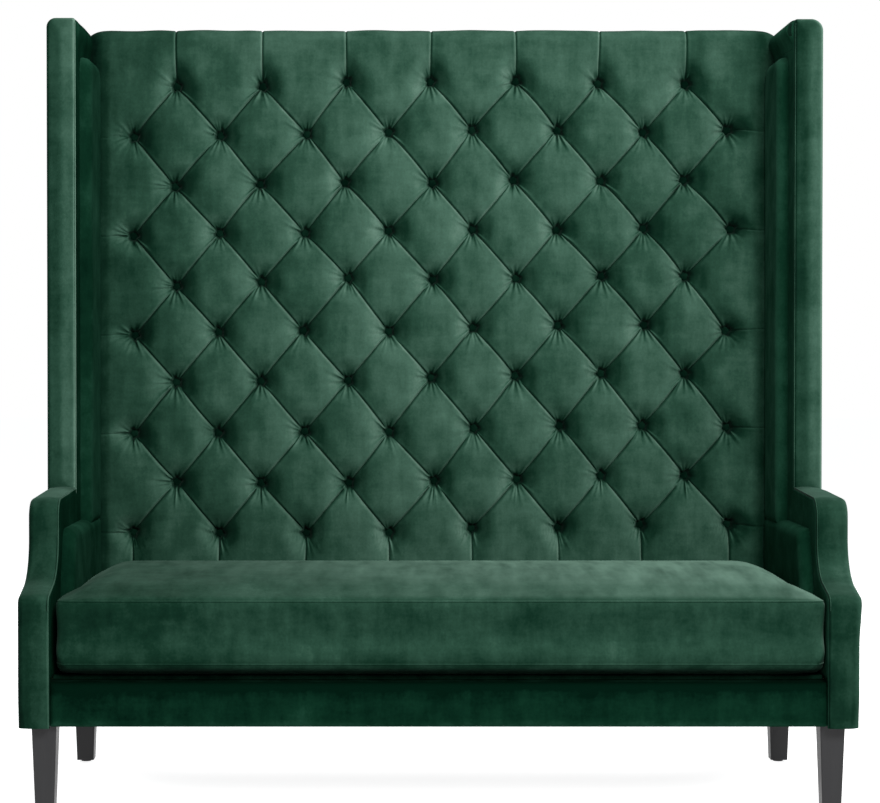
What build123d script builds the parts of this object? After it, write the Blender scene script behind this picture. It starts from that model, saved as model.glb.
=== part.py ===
from build123d import *
import math
import os

# High back settee: a timber frame on four tapered legs, profiled arms that run up into wings,
# a deep-buttoned back and one loose box cushion.
# Millimetres. The origin is the floor point under the centre, +Z is up and the front faces -Y.
# Left and right are as seen from the front: left is -X.

os.makedirs("parts", exist_ok=True)

# ---------------------------------------------------------------- driving dimensions
# Whole piece
overall_width = 1600.0
overall_height = 1580.0
overall_depth = 740.0

# Legs
leg_height = 175.0            # floor to the underside of the body, glide included
leg_top = 48.0                # square section under the body
leg_foot = 36.0               # square section at the glide
leg_edge_radius = 2.5
leg_side_inset = 20.0         # from the body's side to the leg
leg_front_inset = 42.0        # from the arm's front face to the leg
leg_rear_inset = 66.0         # from the back's rear face to the leg
glide_radius = 11.0
glide_height = 4.0
leg_plate_size = 56.0
leg_plate_thickness = 3.0
bolt_radius = 4.0
bolt_clearance = 0.15
bolt_in_leg = 40.0
bolt_in_block = 37.0
bolt_offset = 5.0             # from the leg's centre towards the outside, into the block

# Sides: arm below, wing above
side_thickness = 60.0
side_skin = 4.0               # outside cover and inside lining
side_board = 9.0              # the two boards of each side
facing_thickness = 12.0       # padded band round the front edge of arm and wing
facing_edge_radius = 6.0
wing_depth = 356.0            # wing's front face to the rear face
wing_corner_radius = 20.0
arm_top_height = 611.0        # where the arm meets the wing
arm_top_slope = 4.0           # degrees
arm_upper_set_back = 136.0    # the arm's upper front behind its lower front
arm_round_radius = 45.0
arm_upper_straight = 28.0     # upright stretch between the scoop and the round
scoop_radius = 85.0
shoulder_radius = 22.0
shoulder_slope = 15.0         # degrees
batten_width = 45.0

# Inside pads of the sides
pad_thickness = 25.0
pad_edge_radius = 10.0
wing_pad_set_back = 64.0      # behind the wing's front face
wing_pad_below_top = 65.0
wing_pad_corner = 45.0
arm_pad_set_back = 155.0      # lower front edge behind the arm's front face
arm_pad_lean = 37.0           # how far the upper front edge leans back
arm_pad_bend_height = 425.0
arm_pad_below_top = 70.0      # below the arm's top at the wing
arm_pad_bend_radius = 120.0
arm_pad_corner = 30.0

# Seat frame
rail_height = 79.0
rail_thickness = 25.0
corner_block_size = 60.0
front_border_thickness = 17.7
front_border_height = 85.0
front_border_set_back = 12.0
front_border_bulge = 4.0
front_border_edge_radius = 7.0
strap_width = 60.0
strap_thickness = 2.0
long_straps = 9
cross_straps = 4
deck_thickness = 8.0
deck_front_set_back = 26.0
dust_cover_thickness = 1.0

# Back frame
post_width = 45.0
post_depth = 50.0
back_board_thickness = 9.0
outside_back_thickness = 6.0
top_roll_thickness = 20.0     # padding over the top rail and over the wings
lower_rail_gap = 14.0

# Buttoned back
row_count = 10
half_columns = 7              # lattice columns each side of the centre
side_strip = 67.7             # last lattice column to the flat border
top_row_drop = 111.4          # top row of buttons below the top
bottom_row_rise = 239.0       # bottom row of buttons above the deck
lattice_rise = 0.0107         # the setting-out climbs slightly towards the right
crown_forward_of_board = 79.0  # pillow crowns in front of the board at the deck
back_lean = 20.0              # the crowns fall back by this over their height
button_depth = 30.0
fold_depth = 14.0
flank_depth = 9.0
border_depth = 9.0
border_width = 28.0
pleat_depth_top = 3.0
pleat_depth_bottom = 8.0
roll_radius = 26.0
button_radius = 12.0
button_height = 9.0
tie_radius = 1.2
tie_hole_radius = 4.0
tie_washer_radius = 8.0
tie_washer_thickness = 1.5

# Seat cushion
cushion_side_height = 146.7
cushion_crown = 46.0
cushion_edge_rise = 2.0       # crown left at the front and rear seams
cushion_shoulder = 120.0
cushion_front_set_back = 20.0
cushion_front_gap = 4.0       # each side, between the arms
cushion_pad_gap = 2.0         # each side, between the pads, and behind
cushion_corner_radius = 18.0
cushion_draw_in = 5.0
cushion_cover_thickness = 2.0
foam_gap = 0.5
trim = 1.0                    # the lofted cushion is this much larger than the plan that cuts it

# Fits
soft_gap = 0.3
pad_to_back_gap = 1.5

# ---------------------------------------------------------------- places that follow from them
half_width = overall_width / 2
front_y = -overall_depth / 2
rear_y = overall_depth / 2
body_z = leg_height
top_z = overall_height
timber_z = body_z + leg_plate_thickness
rail_top_z = timber_z + rail_height
deck_z = rail_top_z + 2 * strap_thickness
seat_z = deck_z + deck_thickness
above_deck_z = seat_z + soft_gap

wing_front_y = rear_y - wing_depth
arm_upper_y = front_y + arm_upper_set_back
facing_back = facing_thickness + soft_gap
side_inner_x = half_width - side_thickness
board_inner_x = side_inner_x + side_skin
batten_inner_x = board_inner_x + side_board
batten_outer_x = half_width - side_skin - side_board
board_outer_x = half_width - side_skin
pad_face_x = side_inner_x - pad_thickness
side_top_z = top_z - top_roll_thickness

frame_rear_y = rear_y - outside_back_thickness
post_front_y = frame_rear_y - post_depth
back_board_y = post_front_y - back_board_thickness
side_rail_x = board_inner_x - rail_thickness
border_face_y = front_y + front_border_set_back
front_rail_y = border_face_y + front_border_thickness + soft_gap
side_rail_front_y = front_rail_y + rail_thickness

crown_y_low = back_board_y - crown_forward_of_board
tuft_edge_x = side_inner_x - soft_gap
tuft_border_x = tuft_edge_x - border_width
column_step = (tuft_border_x - side_strip) / half_columns
lattice_top_z = top_z - top_row_drop
lattice_low_z = above_deck_z + bottom_row_rise
row_step = (lattice_top_z - lattice_low_z) / (row_count - 1)

leg_x = half_width - leg_side_inset - leg_top / 2
leg_front_y = front_y + leg_front_inset + leg_top / 2
leg_rear_y = rear_y - leg_rear_inset - leg_top / 2
bolt_x = leg_x + bolt_offset
leg_places = {"front": leg_front_y, "rear": leg_rear_y}

cushion_z = above_deck_z
cushion_seam_z = cushion_z + cushion_side_height
cushion_half = side_inner_x - cushion_front_gap
cushion_waist = pad_face_x - cushion_pad_gap
cushion_front_y = front_y + cushion_front_set_back
cushion_rear_y = crown_y_low - cushion_pad_gap * 2
cushion_notch_y = front_y + arm_pad_set_back - cushion_pad_gap * 2


# ---------------------------------------------------------------- helpers
def box(x0, x1, y0, y1, z0, z1):
    """A block between two corners."""
    centre = Pos((x0 + x1) / 2, (y0 + y1) / 2, (z0 + z1) / 2)
    return centre * Box(x1 - x0, y1 - y0, z1 - z0)


def upright_disc(x, y0, y1, z, radius):
    """A round bar along Y."""
    turned = Rotation(90, 0, 0)
    return Pos(x, (y0 + y1) / 2, z) * turned * Cylinder(radius, y1 - y0)


def arc_about(centre, radius, start, end):
    """An arc in the drawing plane, between two angles in degrees."""
    def at(angle):
        turn = math.radians(angle)
        return (centre[0] + radius * math.cos(turn), centre[1] + radius * math.sin(turn))
    return ThreePointArc(at(start), at((start + end) / 2), at(end))


def side_plate(edges, x0, x1):
    """A plate cut to an outline drawn in Y and Z, between two X places."""
    face = Plane.YZ.offset(x0) * Face(Wire(edges))
    return extrude(face, amount=x1 - x0, dir=(1, 0, 0))


def save(name, *pieces):
    """Write one node, as a group of its solids."""
    solids = [solid for piece in pieces for solid in piece.solids()]
    node = Compound(children=solids) if len(solids) > 1 else solids[0]
    node.label = name
    export_step(node, os.path.join("parts", name + ".step"))


def save_pair(name, *pieces):
    """Write the right-hand node and its mirror image on the left."""
    save(name + "_right", *pieces)
    save(name + "_left", *[mirror(piece, about=Plane.YZ) for piece in pieces])


# ---------------------------------------------------------------- side outline
def arm_top_z(y, inset=0.0):
    """Height of the arm's top, or of a line drawn inside it."""
    slope = math.radians(arm_top_slope)
    return arm_top_height + (y - wing_front_y) * math.tan(slope) - inset / math.cos(slope)


def arm_edges(inset, low_z, end_y):
    """The arm's front outline from its foot, over shoulder, scoop and round, to end_y."""
    slope = math.radians(shoulder_slope)
    top_slope = math.radians(arm_top_slope)
    round_y = arm_upper_y + arm_round_radius
    round_end_y = round_y - arm_round_radius * math.sin(top_slope)
    round_z = arm_top_z(round_end_y) - arm_round_radius * math.cos(top_slope)
    scoop_y = arm_upper_y - scoop_radius
    scoop_z = round_z - arm_upper_straight
    shoulder_y = front_y + shoulder_radius
    both = shoulder_radius + scoop_radius
    run = (scoop_y - shoulder_y + both * math.sin(slope)) / math.cos(slope)
    shoulder_z = scoop_z - both * math.cos(slope) - run * math.sin(slope)
    lean = 90 + shoulder_slope

    shoulder = arc_about((shoulder_y, shoulder_z), shoulder_radius - inset, 180, lean)
    scoop = arc_about((scoop_y, scoop_z), scoop_radius + inset, lean - 180, 0)
    top = arc_about((round_y, round_z), arm_round_radius - inset, 180, 90 + arm_top_slope)
    return [
        Line((front_y + inset, low_z), shoulder @ 0),
        shoulder,
        Line(shoulder @ 1, scoop @ 0),
        scoop,
        Line(scoop @ 1, top @ 0),
        top,
        Line(top @ 1, (end_y, arm_top_z(end_y, inset))),
    ]


def closed(edges, *corners):
    """Close an open outline through the given corners."""
    points = [edges[-1] @ 1, *corners, edges[0] @ 0]
    return edges + Polyline(*points).edges()


# ---------------------------------------------------------------- legs
def leg():
    """A square leg, tapered on all four sides."""
    foot = Plane.XY.offset(glide_height) * RectangleRounded(leg_foot, leg_foot, leg_edge_radius)
    head = Plane.XY.offset(leg_height) * RectangleRounded(leg_top, leg_top, leg_edge_radius)
    return loft([foot, head])


def bolt_hole(y, z0, z1):
    """The clearance hole for a leg bolt."""
    height = z1 - z0
    return Pos(bolt_x, y, z0 + height / 2) * Cylinder(bolt_radius + bolt_clearance, height)


def make_legs():
    """Legs, glides, plates and bolts."""
    glides = []
    plates = []
    bolts = []
    bolt_foot_z = leg_height - bolt_in_leg
    bolt_head_z = timber_z + bolt_in_block
    for place, y in leg_places.items():
        hole = bolt_hole(y, bolt_foot_z - soft_gap, bolt_head_z + soft_gap)
        save_pair("leg_" + place, Pos(leg_x, y, 0) * leg() - hole)
        glide = Pos(leg_x, y, glide_height / 2) * Cylinder(glide_radius, glide_height)
        half = leg_plate_size / 2
        plate = box(leg_x - half, leg_x + half, y - half, y + half, body_z, timber_z) - hole
        bolt_z = (bolt_foot_z + bolt_head_z) / 2
        bolt = Pos(bolt_x, y, bolt_z) * Cylinder(bolt_radius, bolt_head_z - bolt_foot_z)
        for pieces, piece in ((glides, glide), (plates, plate), (bolts, bolt)):
            pieces += [piece, mirror(piece, about=Plane.YZ)]
    save("leg_glides", *glides)
    save("leg_plates", *plates)
    save("leg_bolts", *bolts)


# ---------------------------------------------------------------- seat frame
def make_seat_frame():
    """Rails, blocks, webbing, deck, border and dust cover."""
    inner_x = board_inner_x
    post_x = inner_x - post_width
    front_back_y = side_rail_front_y
    save("frame_front_rail",
         box(-inner_x, inner_x, front_rail_y, front_back_y, timber_z, rail_top_z))
    save("frame_rear_rail",
         box(-post_x, post_x, post_front_y, frame_rear_y, timber_z, rail_top_z))
    save_pair("frame_side_rail",
              box(side_rail_x, inner_x, front_back_y, post_front_y, timber_z, rail_top_z))
    half = rail_thickness / 2
    save("frame_centre_rail",
         box(-half, half, front_back_y, post_front_y, timber_z, rail_top_z))

    blocks = []
    for y, step in ((front_back_y, corner_block_size), (post_front_y, -corner_block_size)):
        triangle = Polyline((side_rail_x, y), (side_rail_x - corner_block_size, y),
                            (side_rail_x, y + step), (side_rail_x, y))
        face = Plane.XY.offset(timber_z) * Face(Wire(triangle.edges()))
        block = extrude(face, amount=rail_height, dir=(0, 0, 1))
        blocks += [block, mirror(block, about=Plane.YZ)]
    save("corner_blocks", *blocks)

    straps = []
    run = 2 * (post_x - strap_width / 2) / (long_straps - 1)
    for index in range(long_straps):
        x = -(post_x - strap_width / 2) + index * run
        straps.append(box(x - strap_width / 2, x + strap_width / 2, front_rail_y, frame_rear_y,
                          rail_top_z, rail_top_z + strap_thickness))
    span = (post_front_y - front_back_y) / cross_straps
    for index in range(cross_straps):
        y = front_back_y + (index + 0.5) * span
        straps.append(box(-inner_x, inner_x, y - strap_width / 2, y + strap_width / 2,
                          rail_top_z + strap_thickness, deck_z))
    save("seat_webbing", *straps)

    save("seat_deck", box(-inner_x + soft_gap, inner_x - soft_gap,
                          front_y + deck_front_set_back, back_board_y, deck_z, seat_z))

    bulge_y = border_face_y + front_border_bulge
    mid_z = body_z + front_border_height / 2
    border_top_z = body_z + front_border_height
    back_y = border_face_y + front_border_thickness
    face = Face(Wire([
        Line((back_y, body_z), (bulge_y, body_z)),
        ThreePointArc((bulge_y, body_z), (border_face_y, mid_z), (bulge_y, border_top_z)),
        Line((bulge_y, border_top_z), (back_y, border_top_z)),
        Line((back_y, border_top_z), (back_y, body_z)),
    ]))
    front_corners = face.vertices().sort_by(Axis.X)[:2]
    face = face.fillet_2d(front_border_edge_radius, front_corners)
    border_x = inner_x - soft_gap
    placed = Plane.YZ.offset(-border_x) * face
    save("front_border", extrude(placed, amount=2 * border_x, dir=(1, 0, 0)))

    cover_x = board_outer_x
    cover_z = timber_z - dust_cover_thickness
    cover = box(-cover_x, cover_x, front_rail_y, frame_rear_y, cover_z, timber_z)
    reach = leg_plate_size / 2 + bolt_radius
    for side in (-1, 1):
        for y in leg_places.values():
            x = side * leg_x
            cover -= box(x - reach, x + reach, y - reach, y + reach, cover_z - 1, timber_z + 1)
    save("dust_cover", cover)


# ---------------------------------------------------------------- back frame
def button_places():
    """X and Z of each button: rows of even and odd lattice columns take turns."""
    places = []
    for row in range(row_count):
        for column in range(-half_columns, half_columns + 1):
            if (column + row) % 2:
                x = column * column_step
                places.append((x, lattice_low_z + row * row_step + lattice_rise * x))
    return places


def make_back_frame():
    """Posts, rails, the board that the ties pass through, and the outside back."""
    inner_x = board_inner_x
    post_x = inner_x - post_width
    save_pair("back_post", box(post_x, inner_x, post_front_y, frame_rear_y, timber_z, side_top_z))
    middle_z = lattice_low_z + (row_count - 1) / 2 * row_step
    lower_z = deck_z + lower_rail_gap
    for name, low, high in (("top", side_top_z - post_width, side_top_z),
                            ("middle", middle_z - post_width / 2, middle_z + post_width / 2),
                            ("lower", lower_z, lower_z + post_width)):
        save("back_" + name + "_rail", box(-post_x, post_x, post_front_y, frame_rear_y, low, high))

    board = box(-inner_x, inner_x, back_board_y, post_front_y, deck_z, side_top_z)
    holes = [upright_disc(x, back_board_y - 1, post_front_y + 1, z, tie_hole_radius)
             for x, z in button_places()]
    save("back_board", board - holes)

    radius = wing_corner_radius
    outline = Polyline((half_width, top_z - radius), (half_width, body_z),
                       (-half_width, body_z), (-half_width, top_z - radius)).edges()
    outline += [
        arc_about((-half_width + radius, top_z - radius), radius, 180, 90),
        Line((-half_width + radius, top_z), (half_width - radius, top_z)),
        arc_about((half_width - radius, top_z - radius), radius, 90, 0),
    ]
    face = Plane((0, rear_y, 0), x_dir=(1, 0, 0), z_dir=(0, -1, 0)) * Face(Wire(outline))
    save("outside_back", extrude(face, amount=outside_back_thickness, dir=(0, -1, 0)))


# ---------------------------------------------------------------- sides
def front_band(x0, x1):
    """The arm's padded facing: a rounded section carried along the arm's front outline."""
    middle_x = (x0 + x1) / 2
    section = Rectangle(x1 - x0, facing_thickness)
    section = Pos(middle_x, front_y + facing_thickness / 2, body_z) * section
    front = section.vertices().sort_by(Axis.Y)[:2]
    section = fillet(front, facing_edge_radius)
    end_y = wing_front_y - facing_thickness * math.sin(math.radians(arm_top_slope)) - soft_gap
    path = Plane.YZ.offset(middle_x) * Wire(arm_edges(0, body_z, end_y))
    return sweep(section, path=path)


def tombstone(x0, x1, low_z, y):
    """The wing's front outline: upright sides and rounded top corners."""
    radius = wing_corner_radius
    outline = Polyline((x1, top_z - radius), (x1, low_z), (x0, low_z), (x0, top_z - radius))
    edges = outline.edges() + [
        arc_about((x0 + radius, top_z - radius), radius, 180, 90),
        Line((x0 + radius, top_z), (x1 - radius, top_z)),
        arc_about((x1 - radius, top_z - radius), radius, 90, 0),
    ]
    return Plane((0, y, 0), x_dir=(1, 0, 0), z_dir=(0, -1, 0)) * Face(Wire(edges))


def wing_band(x0, x1):
    """The wing's facing: a strip up its front, and the roll over its top."""
    strip_z = arm_top_z(wing_front_y + facing_thickness, facing_thickness) + soft_gap
    strip = extrude(tombstone(x0, x1, strip_z, wing_front_y), amount=facing_thickness,
                    dir=(0, 1, 0))
    front = [edge for edge in strip.faces().sort_by(Axis.Y)[0].edges()
             if edge.center().Z > strip_z + 1]
    strip = fillet(front, facing_edge_radius)
    strip_back_y = wing_front_y + facing_thickness
    roll = extrude(tombstone(x0, x1, strip_z, strip_back_y),
                   amount=frame_rear_y - strip_back_y, dir=(0, 1, 0))
    roll = roll & box(x0, x1, strip_back_y, frame_rear_y, side_top_z, top_z)
    return strip + roll


def side_battens():
    """Blocks and battens between the two boards of a side."""
    x0 = batten_inner_x
    x1 = batten_outer_x
    inside_y = front_y + facing_back
    wing_y = wing_front_y + facing_back
    width = batten_width
    batten_top = side_top_z - soft_gap
    leg_block = leg_plate_size / 2 + width / 4
    blocks = []
    for y in leg_places.values():
        block = box(x0, x1, y - leg_block, y + leg_block, timber_z, rail_top_z)
        blocks.append(block - bolt_hole(y, timber_z - 1, timber_z + bolt_in_block + soft_gap))
    arm_z = arm_top_z(arm_upper_y + arm_round_radius, facing_back) - soft_gap
    blocks += [
        box(x0, x1, inside_y, inside_y + width, rail_top_z, rail_top_z + 3 * width),
        box(x0, x1, arm_upper_y + arm_round_radius, wing_y, arm_z - width, arm_z),
        box(x0, x1, wing_y, wing_y + width, rail_top_z, batten_top),
        box(x0, x1, frame_rear_y - width, frame_rear_y - soft_gap, rail_top_z, batten_top),
        box(x0, x1, wing_y + width, frame_rear_y - width, batten_top - width, batten_top),
    ]
    return blocks


def make_sides():
    """Boards, battens, facings, covers and pads of the two sides."""
    wing_y = wing_front_y + facing_back
    board_rear_y = frame_rear_y - soft_gap
    board_top_z = side_top_z - soft_gap
    arm = closed(arm_edges(facing_back, timber_z, wing_y), (wing_y, timber_z))
    wing = Polyline((wing_y, timber_z), (wing_y, board_top_z), (board_rear_y, board_top_z),
                    (board_rear_y, timber_z), (wing_y, timber_z)).edges()
    boards = {"inner": (board_inner_x, batten_inner_x), "outer": (batten_outer_x, board_outer_x)}
    for side, (x0, x1) in boards.items():
        save_pair("arm_board_" + side, side_plate(arm, x0, x1))
        save_pair("wing_board_" + side, side_plate(wing, x0, x1))
    save_pair("side_battens", *side_battens())

    save_pair("arm_facing", front_band(side_inner_x, half_width))
    save_pair("wing_facing", wing_band(side_inner_x, half_width))

    def skin(low_z, end_y, x0, x1):
        outline = closed(arm_edges(facing_back, low_z, wing_y), (wing_y, board_top_z),
                         (end_y, board_top_z), (end_y, low_z))
        return side_plate(outline, x0, x1)

    save_pair("outside_cover", skin(body_z, board_rear_y, board_outer_x, half_width))
    save_pair("inside_lining",
              skin(above_deck_z, back_board_y - soft_gap, side_inner_x, board_inner_x))
    make_pads()


def padded(points, radii):
    """A side pad: an outline in Y and Z, with its edge rounded towards the seat."""
    outline = FilletPolyline(*points, radius=radii, close=True)
    pad = side_plate(outline.edges(), pad_face_x, side_inner_x)
    inner_edges = pad.faces().sort_by(Axis.X)[0].edges()
    return fillet(inner_edges, pad_edge_radius)


def make_pads():
    """The pads inside the wing and the arm, which end against the buttoned back."""
    arm_pad_z = arm_top_height - arm_pad_below_top
    wing_pad_z = top_z - wing_pad_below_top

    def back_y(z):
        return crown_y(z) + border_depth - pad_to_back_gap

    front = wing_front_y + wing_pad_set_back
    low = arm_pad_z + soft_gap
    wing_points = [(front, low), (front, wing_pad_z), (back_y(wing_pad_z), wing_pad_z),
                   (back_y(low), low)]
    wing_radii = [pad_edge_radius, arm_pad_corner, wing_pad_corner, pad_edge_radius]
    save_pair("wing_pad", padded(wing_points, wing_radii))

    front = front_y + arm_pad_set_back
    arm_points = [(front, above_deck_z), (front, arm_pad_bend_height),
                  (front + arm_pad_lean, arm_pad_z), (back_y(arm_pad_z), arm_pad_z),
                  (back_y(above_deck_z), above_deck_z)]
    arm_radii = [pad_edge_radius, arm_pad_bend_radius, arm_pad_corner, pad_edge_radius,
                 pad_edge_radius]
    save_pair("arm_pad", padded(arm_points, arm_radii))


# ---------------------------------------------------------------- buttoned back
def crown_y(z):
    """Y of the pillow crowns at a height: they lean back towards the top."""
    return crown_y_low + back_lean * (z - seat_z) / (top_z - seat_z)


def lattice_depth(half_i, half_j):
    """Depth below the crowns at a place on the lattice, counted in half steps each way."""
    if half_i % 2 == 0 and half_j % 2 == 0:
        return button_depth if (half_i // 2 + half_j // 2) % 2 else 0.0
    if (half_i + half_j) % 2:
        return flank_depth
    return fold_depth


def pleat_depth(half_i, button_row, share, edge_depth):
    """Depth in the plain strip beyond the first or last row, share of the way to its edge."""
    fade = (1 - share) ** 2
    if half_i % 2:
        return flank_depth * fade + edge_depth / 2 * (1 - fade)
    if (half_i // 2 + button_row) % 2:
        return edge_depth + (button_depth - edge_depth) * fade
    return 0.0


def tuft_rows():
    """Front-surface rows from the deck to the rear of the top roll.

    Each row is (height, tilt share, roll angle or None, depth of each lattice column)."""
    columns = range(-2 * half_columns, 2 * half_columns + 1)
    rows = []
    strip = lattice_low_z - above_deck_z
    for share in (1.0, 0.5, 0.22):
        depths = [pleat_depth(i, 0, share, pleat_depth_bottom) for i in columns]
        rows.append((lattice_low_z - strip * share, 1 - share, None, depths))
    for half_j in range(2 * row_count - 1):
        depths = [lattice_depth(i, half_j) for i in columns]
        rows.append((lattice_low_z + half_j * row_step / 2, 1.0, None, depths))
    strip = top_row_drop - roll_radius
    edge = [pleat_depth(i, row_count - 1, 1.0, pleat_depth_top) for i in columns]
    for share in (0.35, 0.7):
        depths = [pleat_depth(i, row_count - 1, share, pleat_depth_top) for i in columns]
        rows.append((lattice_top_z + strip * share, 1 - share, None, depths))
    for angle in (0, 30, 60, 90):
        rows.append((top_z - roll_radius, 0.0, angle, edge))
    return rows


def spread(depths):
    """Add the side strip: each end depth fades into the flat border."""
    near = [(depths[0] + border_depth) / 2]
    far = [(depths[-1] + border_depth) / 2]
    border = [border_depth, border_depth]
    return border + near + depths + far + border


def tuft_point(x, row, depth):
    """A point of the buttoned surface, or of the roll at its top."""
    height, tilt, angle, _ = row
    if angle is None:
        z = height + lattice_rise * x * tilt
        return (x, crown_y(z) + depth, z)
    turn = math.radians(angle)
    reach = roll_radius - depth
    centre_y = crown_y(height) + roll_radius
    return (x, centre_y - reach * math.cos(turn), height + reach * math.sin(turn))


def tufted_solid():
    """The stuffed back: pillows between folds and buttons, closed round its board and rail."""
    lattice_x = [i * column_step / 2 for i in range(-2 * half_columns, 2 * half_columns + 1)]
    near_x = (lattice_x[-1] + tuft_border_x) / 2
    side_x = [near_x, tuft_border_x, tuft_edge_x]
    xs = [-x for x in reversed(side_x)] + lattice_x + side_x
    rows = tuft_rows()
    grid = [[tuft_point(x, row, d) for x, d in zip(xs, spread(row[3]))] for row in rows]
    rear_z = top_z - pleat_depth_top
    grid.append([(x, frame_rear_y, rear_z) for x in xs])

    # A fold runs from button to button, so the diagonal of each cell follows the lattice.
    first_lattice_row = 3
    faces = []
    for j in range(len(grid) - 1):
        for i in range(len(xs) - 1):
            low_left, low_right = grid[j][i], grid[j][i + 1]
            high_left, high_right = grid[j + 1][i], grid[j + 1][i + 1]
            cell_i = (i - len(side_x)) // 2
            cell_j = (j - first_lattice_row) // 2
            if (cell_i - half_columns + cell_j) % 2:
                corners = ((low_left, low_right, high_right), (low_left, high_right, high_left))
            else:
                corners = ((low_left, low_right, high_left), (low_right, high_right, high_left))
            faces += [Face(Wire.make_polygon(triangle)) for triangle in corners]

    left = [row[0] for row in grid]
    right = [row[-1] for row in grid]
    under_z = side_top_z + soft_gap
    board_y = back_board_y - soft_gap
    ends = {}
    for side, x in (("left", xs[0]), ("right", xs[-1])):
        ends[side] = [(x, frame_rear_y, under_z), (x, board_y, under_z),
                      (x, board_y, above_deck_z)]
    faces.append(Face(Wire.make_polygon(left + ends["left"])))
    faces.append(Face(Wire.make_polygon(right + ends["right"])))
    rear = [list(reversed(grid[-1])), ends["left"][:1], ends["right"][:1]]
    faces.append(Face(Wire.make_polygon(rear[0] + rear[1] + rear[2])))
    for place in range(2):
        faces.append(Face(Wire.make_polygon(
            ends["left"][place:place + 2] + ends["right"][place:place + 2][::-1])))
    faces.append(Face(Wire.make_polygon(grid[0] + ends["right"][2:] + ends["left"][2:])))
    return Solid(Shell(faces))


def covered_button():
    """A domed button seen along Y: a flat back at y = 0, a short rim and a shallow dome."""
    rim = button_height / 3
    dome = button_height - rim
    dome_radius = (button_radius ** 2 + dome ** 2) / (2 * dome)
    disc = upright_disc(0, -button_height, 0, 0, button_radius)
    return disc & (Pos(0, dome_radius - button_height, 0) * Sphere(dome_radius))


def make_back():
    """The stuffed back, its buttons and their ties."""
    save("back_tufting", tufted_solid())
    button = covered_button()
    buttons = []
    ties = []
    for x, z in button_places():
        seat_y = crown_y(z) + button_depth - button_height / 3
        buttons.append(Pos(x, seat_y, z) * button)
        cord = upright_disc(x, seat_y, post_front_y + tie_washer_thickness, z, tie_radius)
        washer = upright_disc(x, post_front_y, post_front_y + tie_washer_thickness, z,
                              tie_washer_radius)
        ties.append(cord + washer)
    save("back_buttons", *buttons)
    save("button_ties", *ties)


# ---------------------------------------------------------------- seat cushion
def cushion_section(y, rise, inset):
    """One cross-section of the crowned cushion: flat below, shoulders and a crown above."""
    edge = cushion_half + trim - inset
    inner = edge - cushion_shoulder
    seam = cushion_seam_z - inset
    low = cushion_z + inset
    shoulder_z = seam + rise * 0.8
    bend = (edge - cushion_shoulder * 0.4, y, seam + rise * 0.5)
    mirror_bend = (-bend[0], y, bend[2])
    return Face(Wire([
        Line((-edge, y, low), (edge, y, low)),
        Line((edge, y, low), (edge, y, seam)),
        ThreePointArc((edge, y, seam), bend, (inner, y, shoulder_z)),
        ThreePointArc((inner, y, shoulder_z), (0, y, seam + rise), (-inner, y, shoulder_z)),
        ThreePointArc((-inner, y, shoulder_z), mirror_bend, (-edge, y, seam)),
        Line((-edge, y, seam), (-edge, y, low)),
    ]))


def cushion_plan(inset):
    """The cushion from above: wide between the arms, narrower between the pads."""
    front = cushion_front_y + inset
    rear = cushion_rear_y - inset
    notch = cushion_notch_y - inset
    wide = cushion_half - inset
    waist = cushion_waist - inset
    drawn = cushion_draw_in
    edges = [
        ThreePointArc((-wide, front), (0, front + drawn), (wide, front)),
        Line((wide, front), (wide, notch)),
        Line((wide, notch), (waist, notch)),
        ThreePointArc((waist, notch), (waist - drawn, (notch + rear) / 2), (waist, rear)),
        ThreePointArc((waist, rear), (0, rear - drawn), (-waist, rear)),
        ThreePointArc((-waist, rear), (-waist + drawn, (notch + rear) / 2), (-waist, notch)),
        Line((-waist, notch), (-wide, notch)),
        Line((-wide, notch), (-wide, front)),
    ]
    face = Face(Wire(edges))
    corners = [v for v in face.vertices() if abs(v.Y - notch) > 1]
    return face.fillet_2d(cushion_corner_radius, corners)


def cushion_form(inset):
    """The crowned box cushion, or the same form drawn inside it."""
    first = cushion_front_y - trim
    length = cushion_rear_y + trim - first
    sections = []
    for share in (0.0, 0.06, 0.18, 0.5, 0.82, 0.94, 1.0):
        fullness = (4 * share * (1 - share)) ** 0.6
        rise = cushion_edge_rise + (cushion_crown - cushion_edge_rise) * fullness
        sections.append(cushion_section(first + share * length, rise, inset))
    body = loft(sections)
    plan = Plane.XY.offset(cushion_z + inset - trim) * cushion_plan(inset)
    return body & extrude(plan, amount=cushion_side_height + 2 * cushion_crown, dir=(0, 0, 1))


def make_cushion():
    """The cushion's sewn cover and its foam core."""
    cover = cushion_form(0.0) - cushion_form(cushion_cover_thickness)
    save("seat_cushion_cover", cover)
    save("seat_cushion_foam", cushion_form(cushion_cover_thickness + foam_gap))


make_legs()
make_seat_frame()
make_back_frame()
make_sides()
make_back()
make_cushion()
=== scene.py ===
"""High back settee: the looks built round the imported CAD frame."""
import math

import bmesh
import bpy
import numpy as np
from mathutils import Matrix, Vector
from mathutils.bvhtree import BVHTree
from mathutils.geometry import delaunay_2d_cdt


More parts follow.
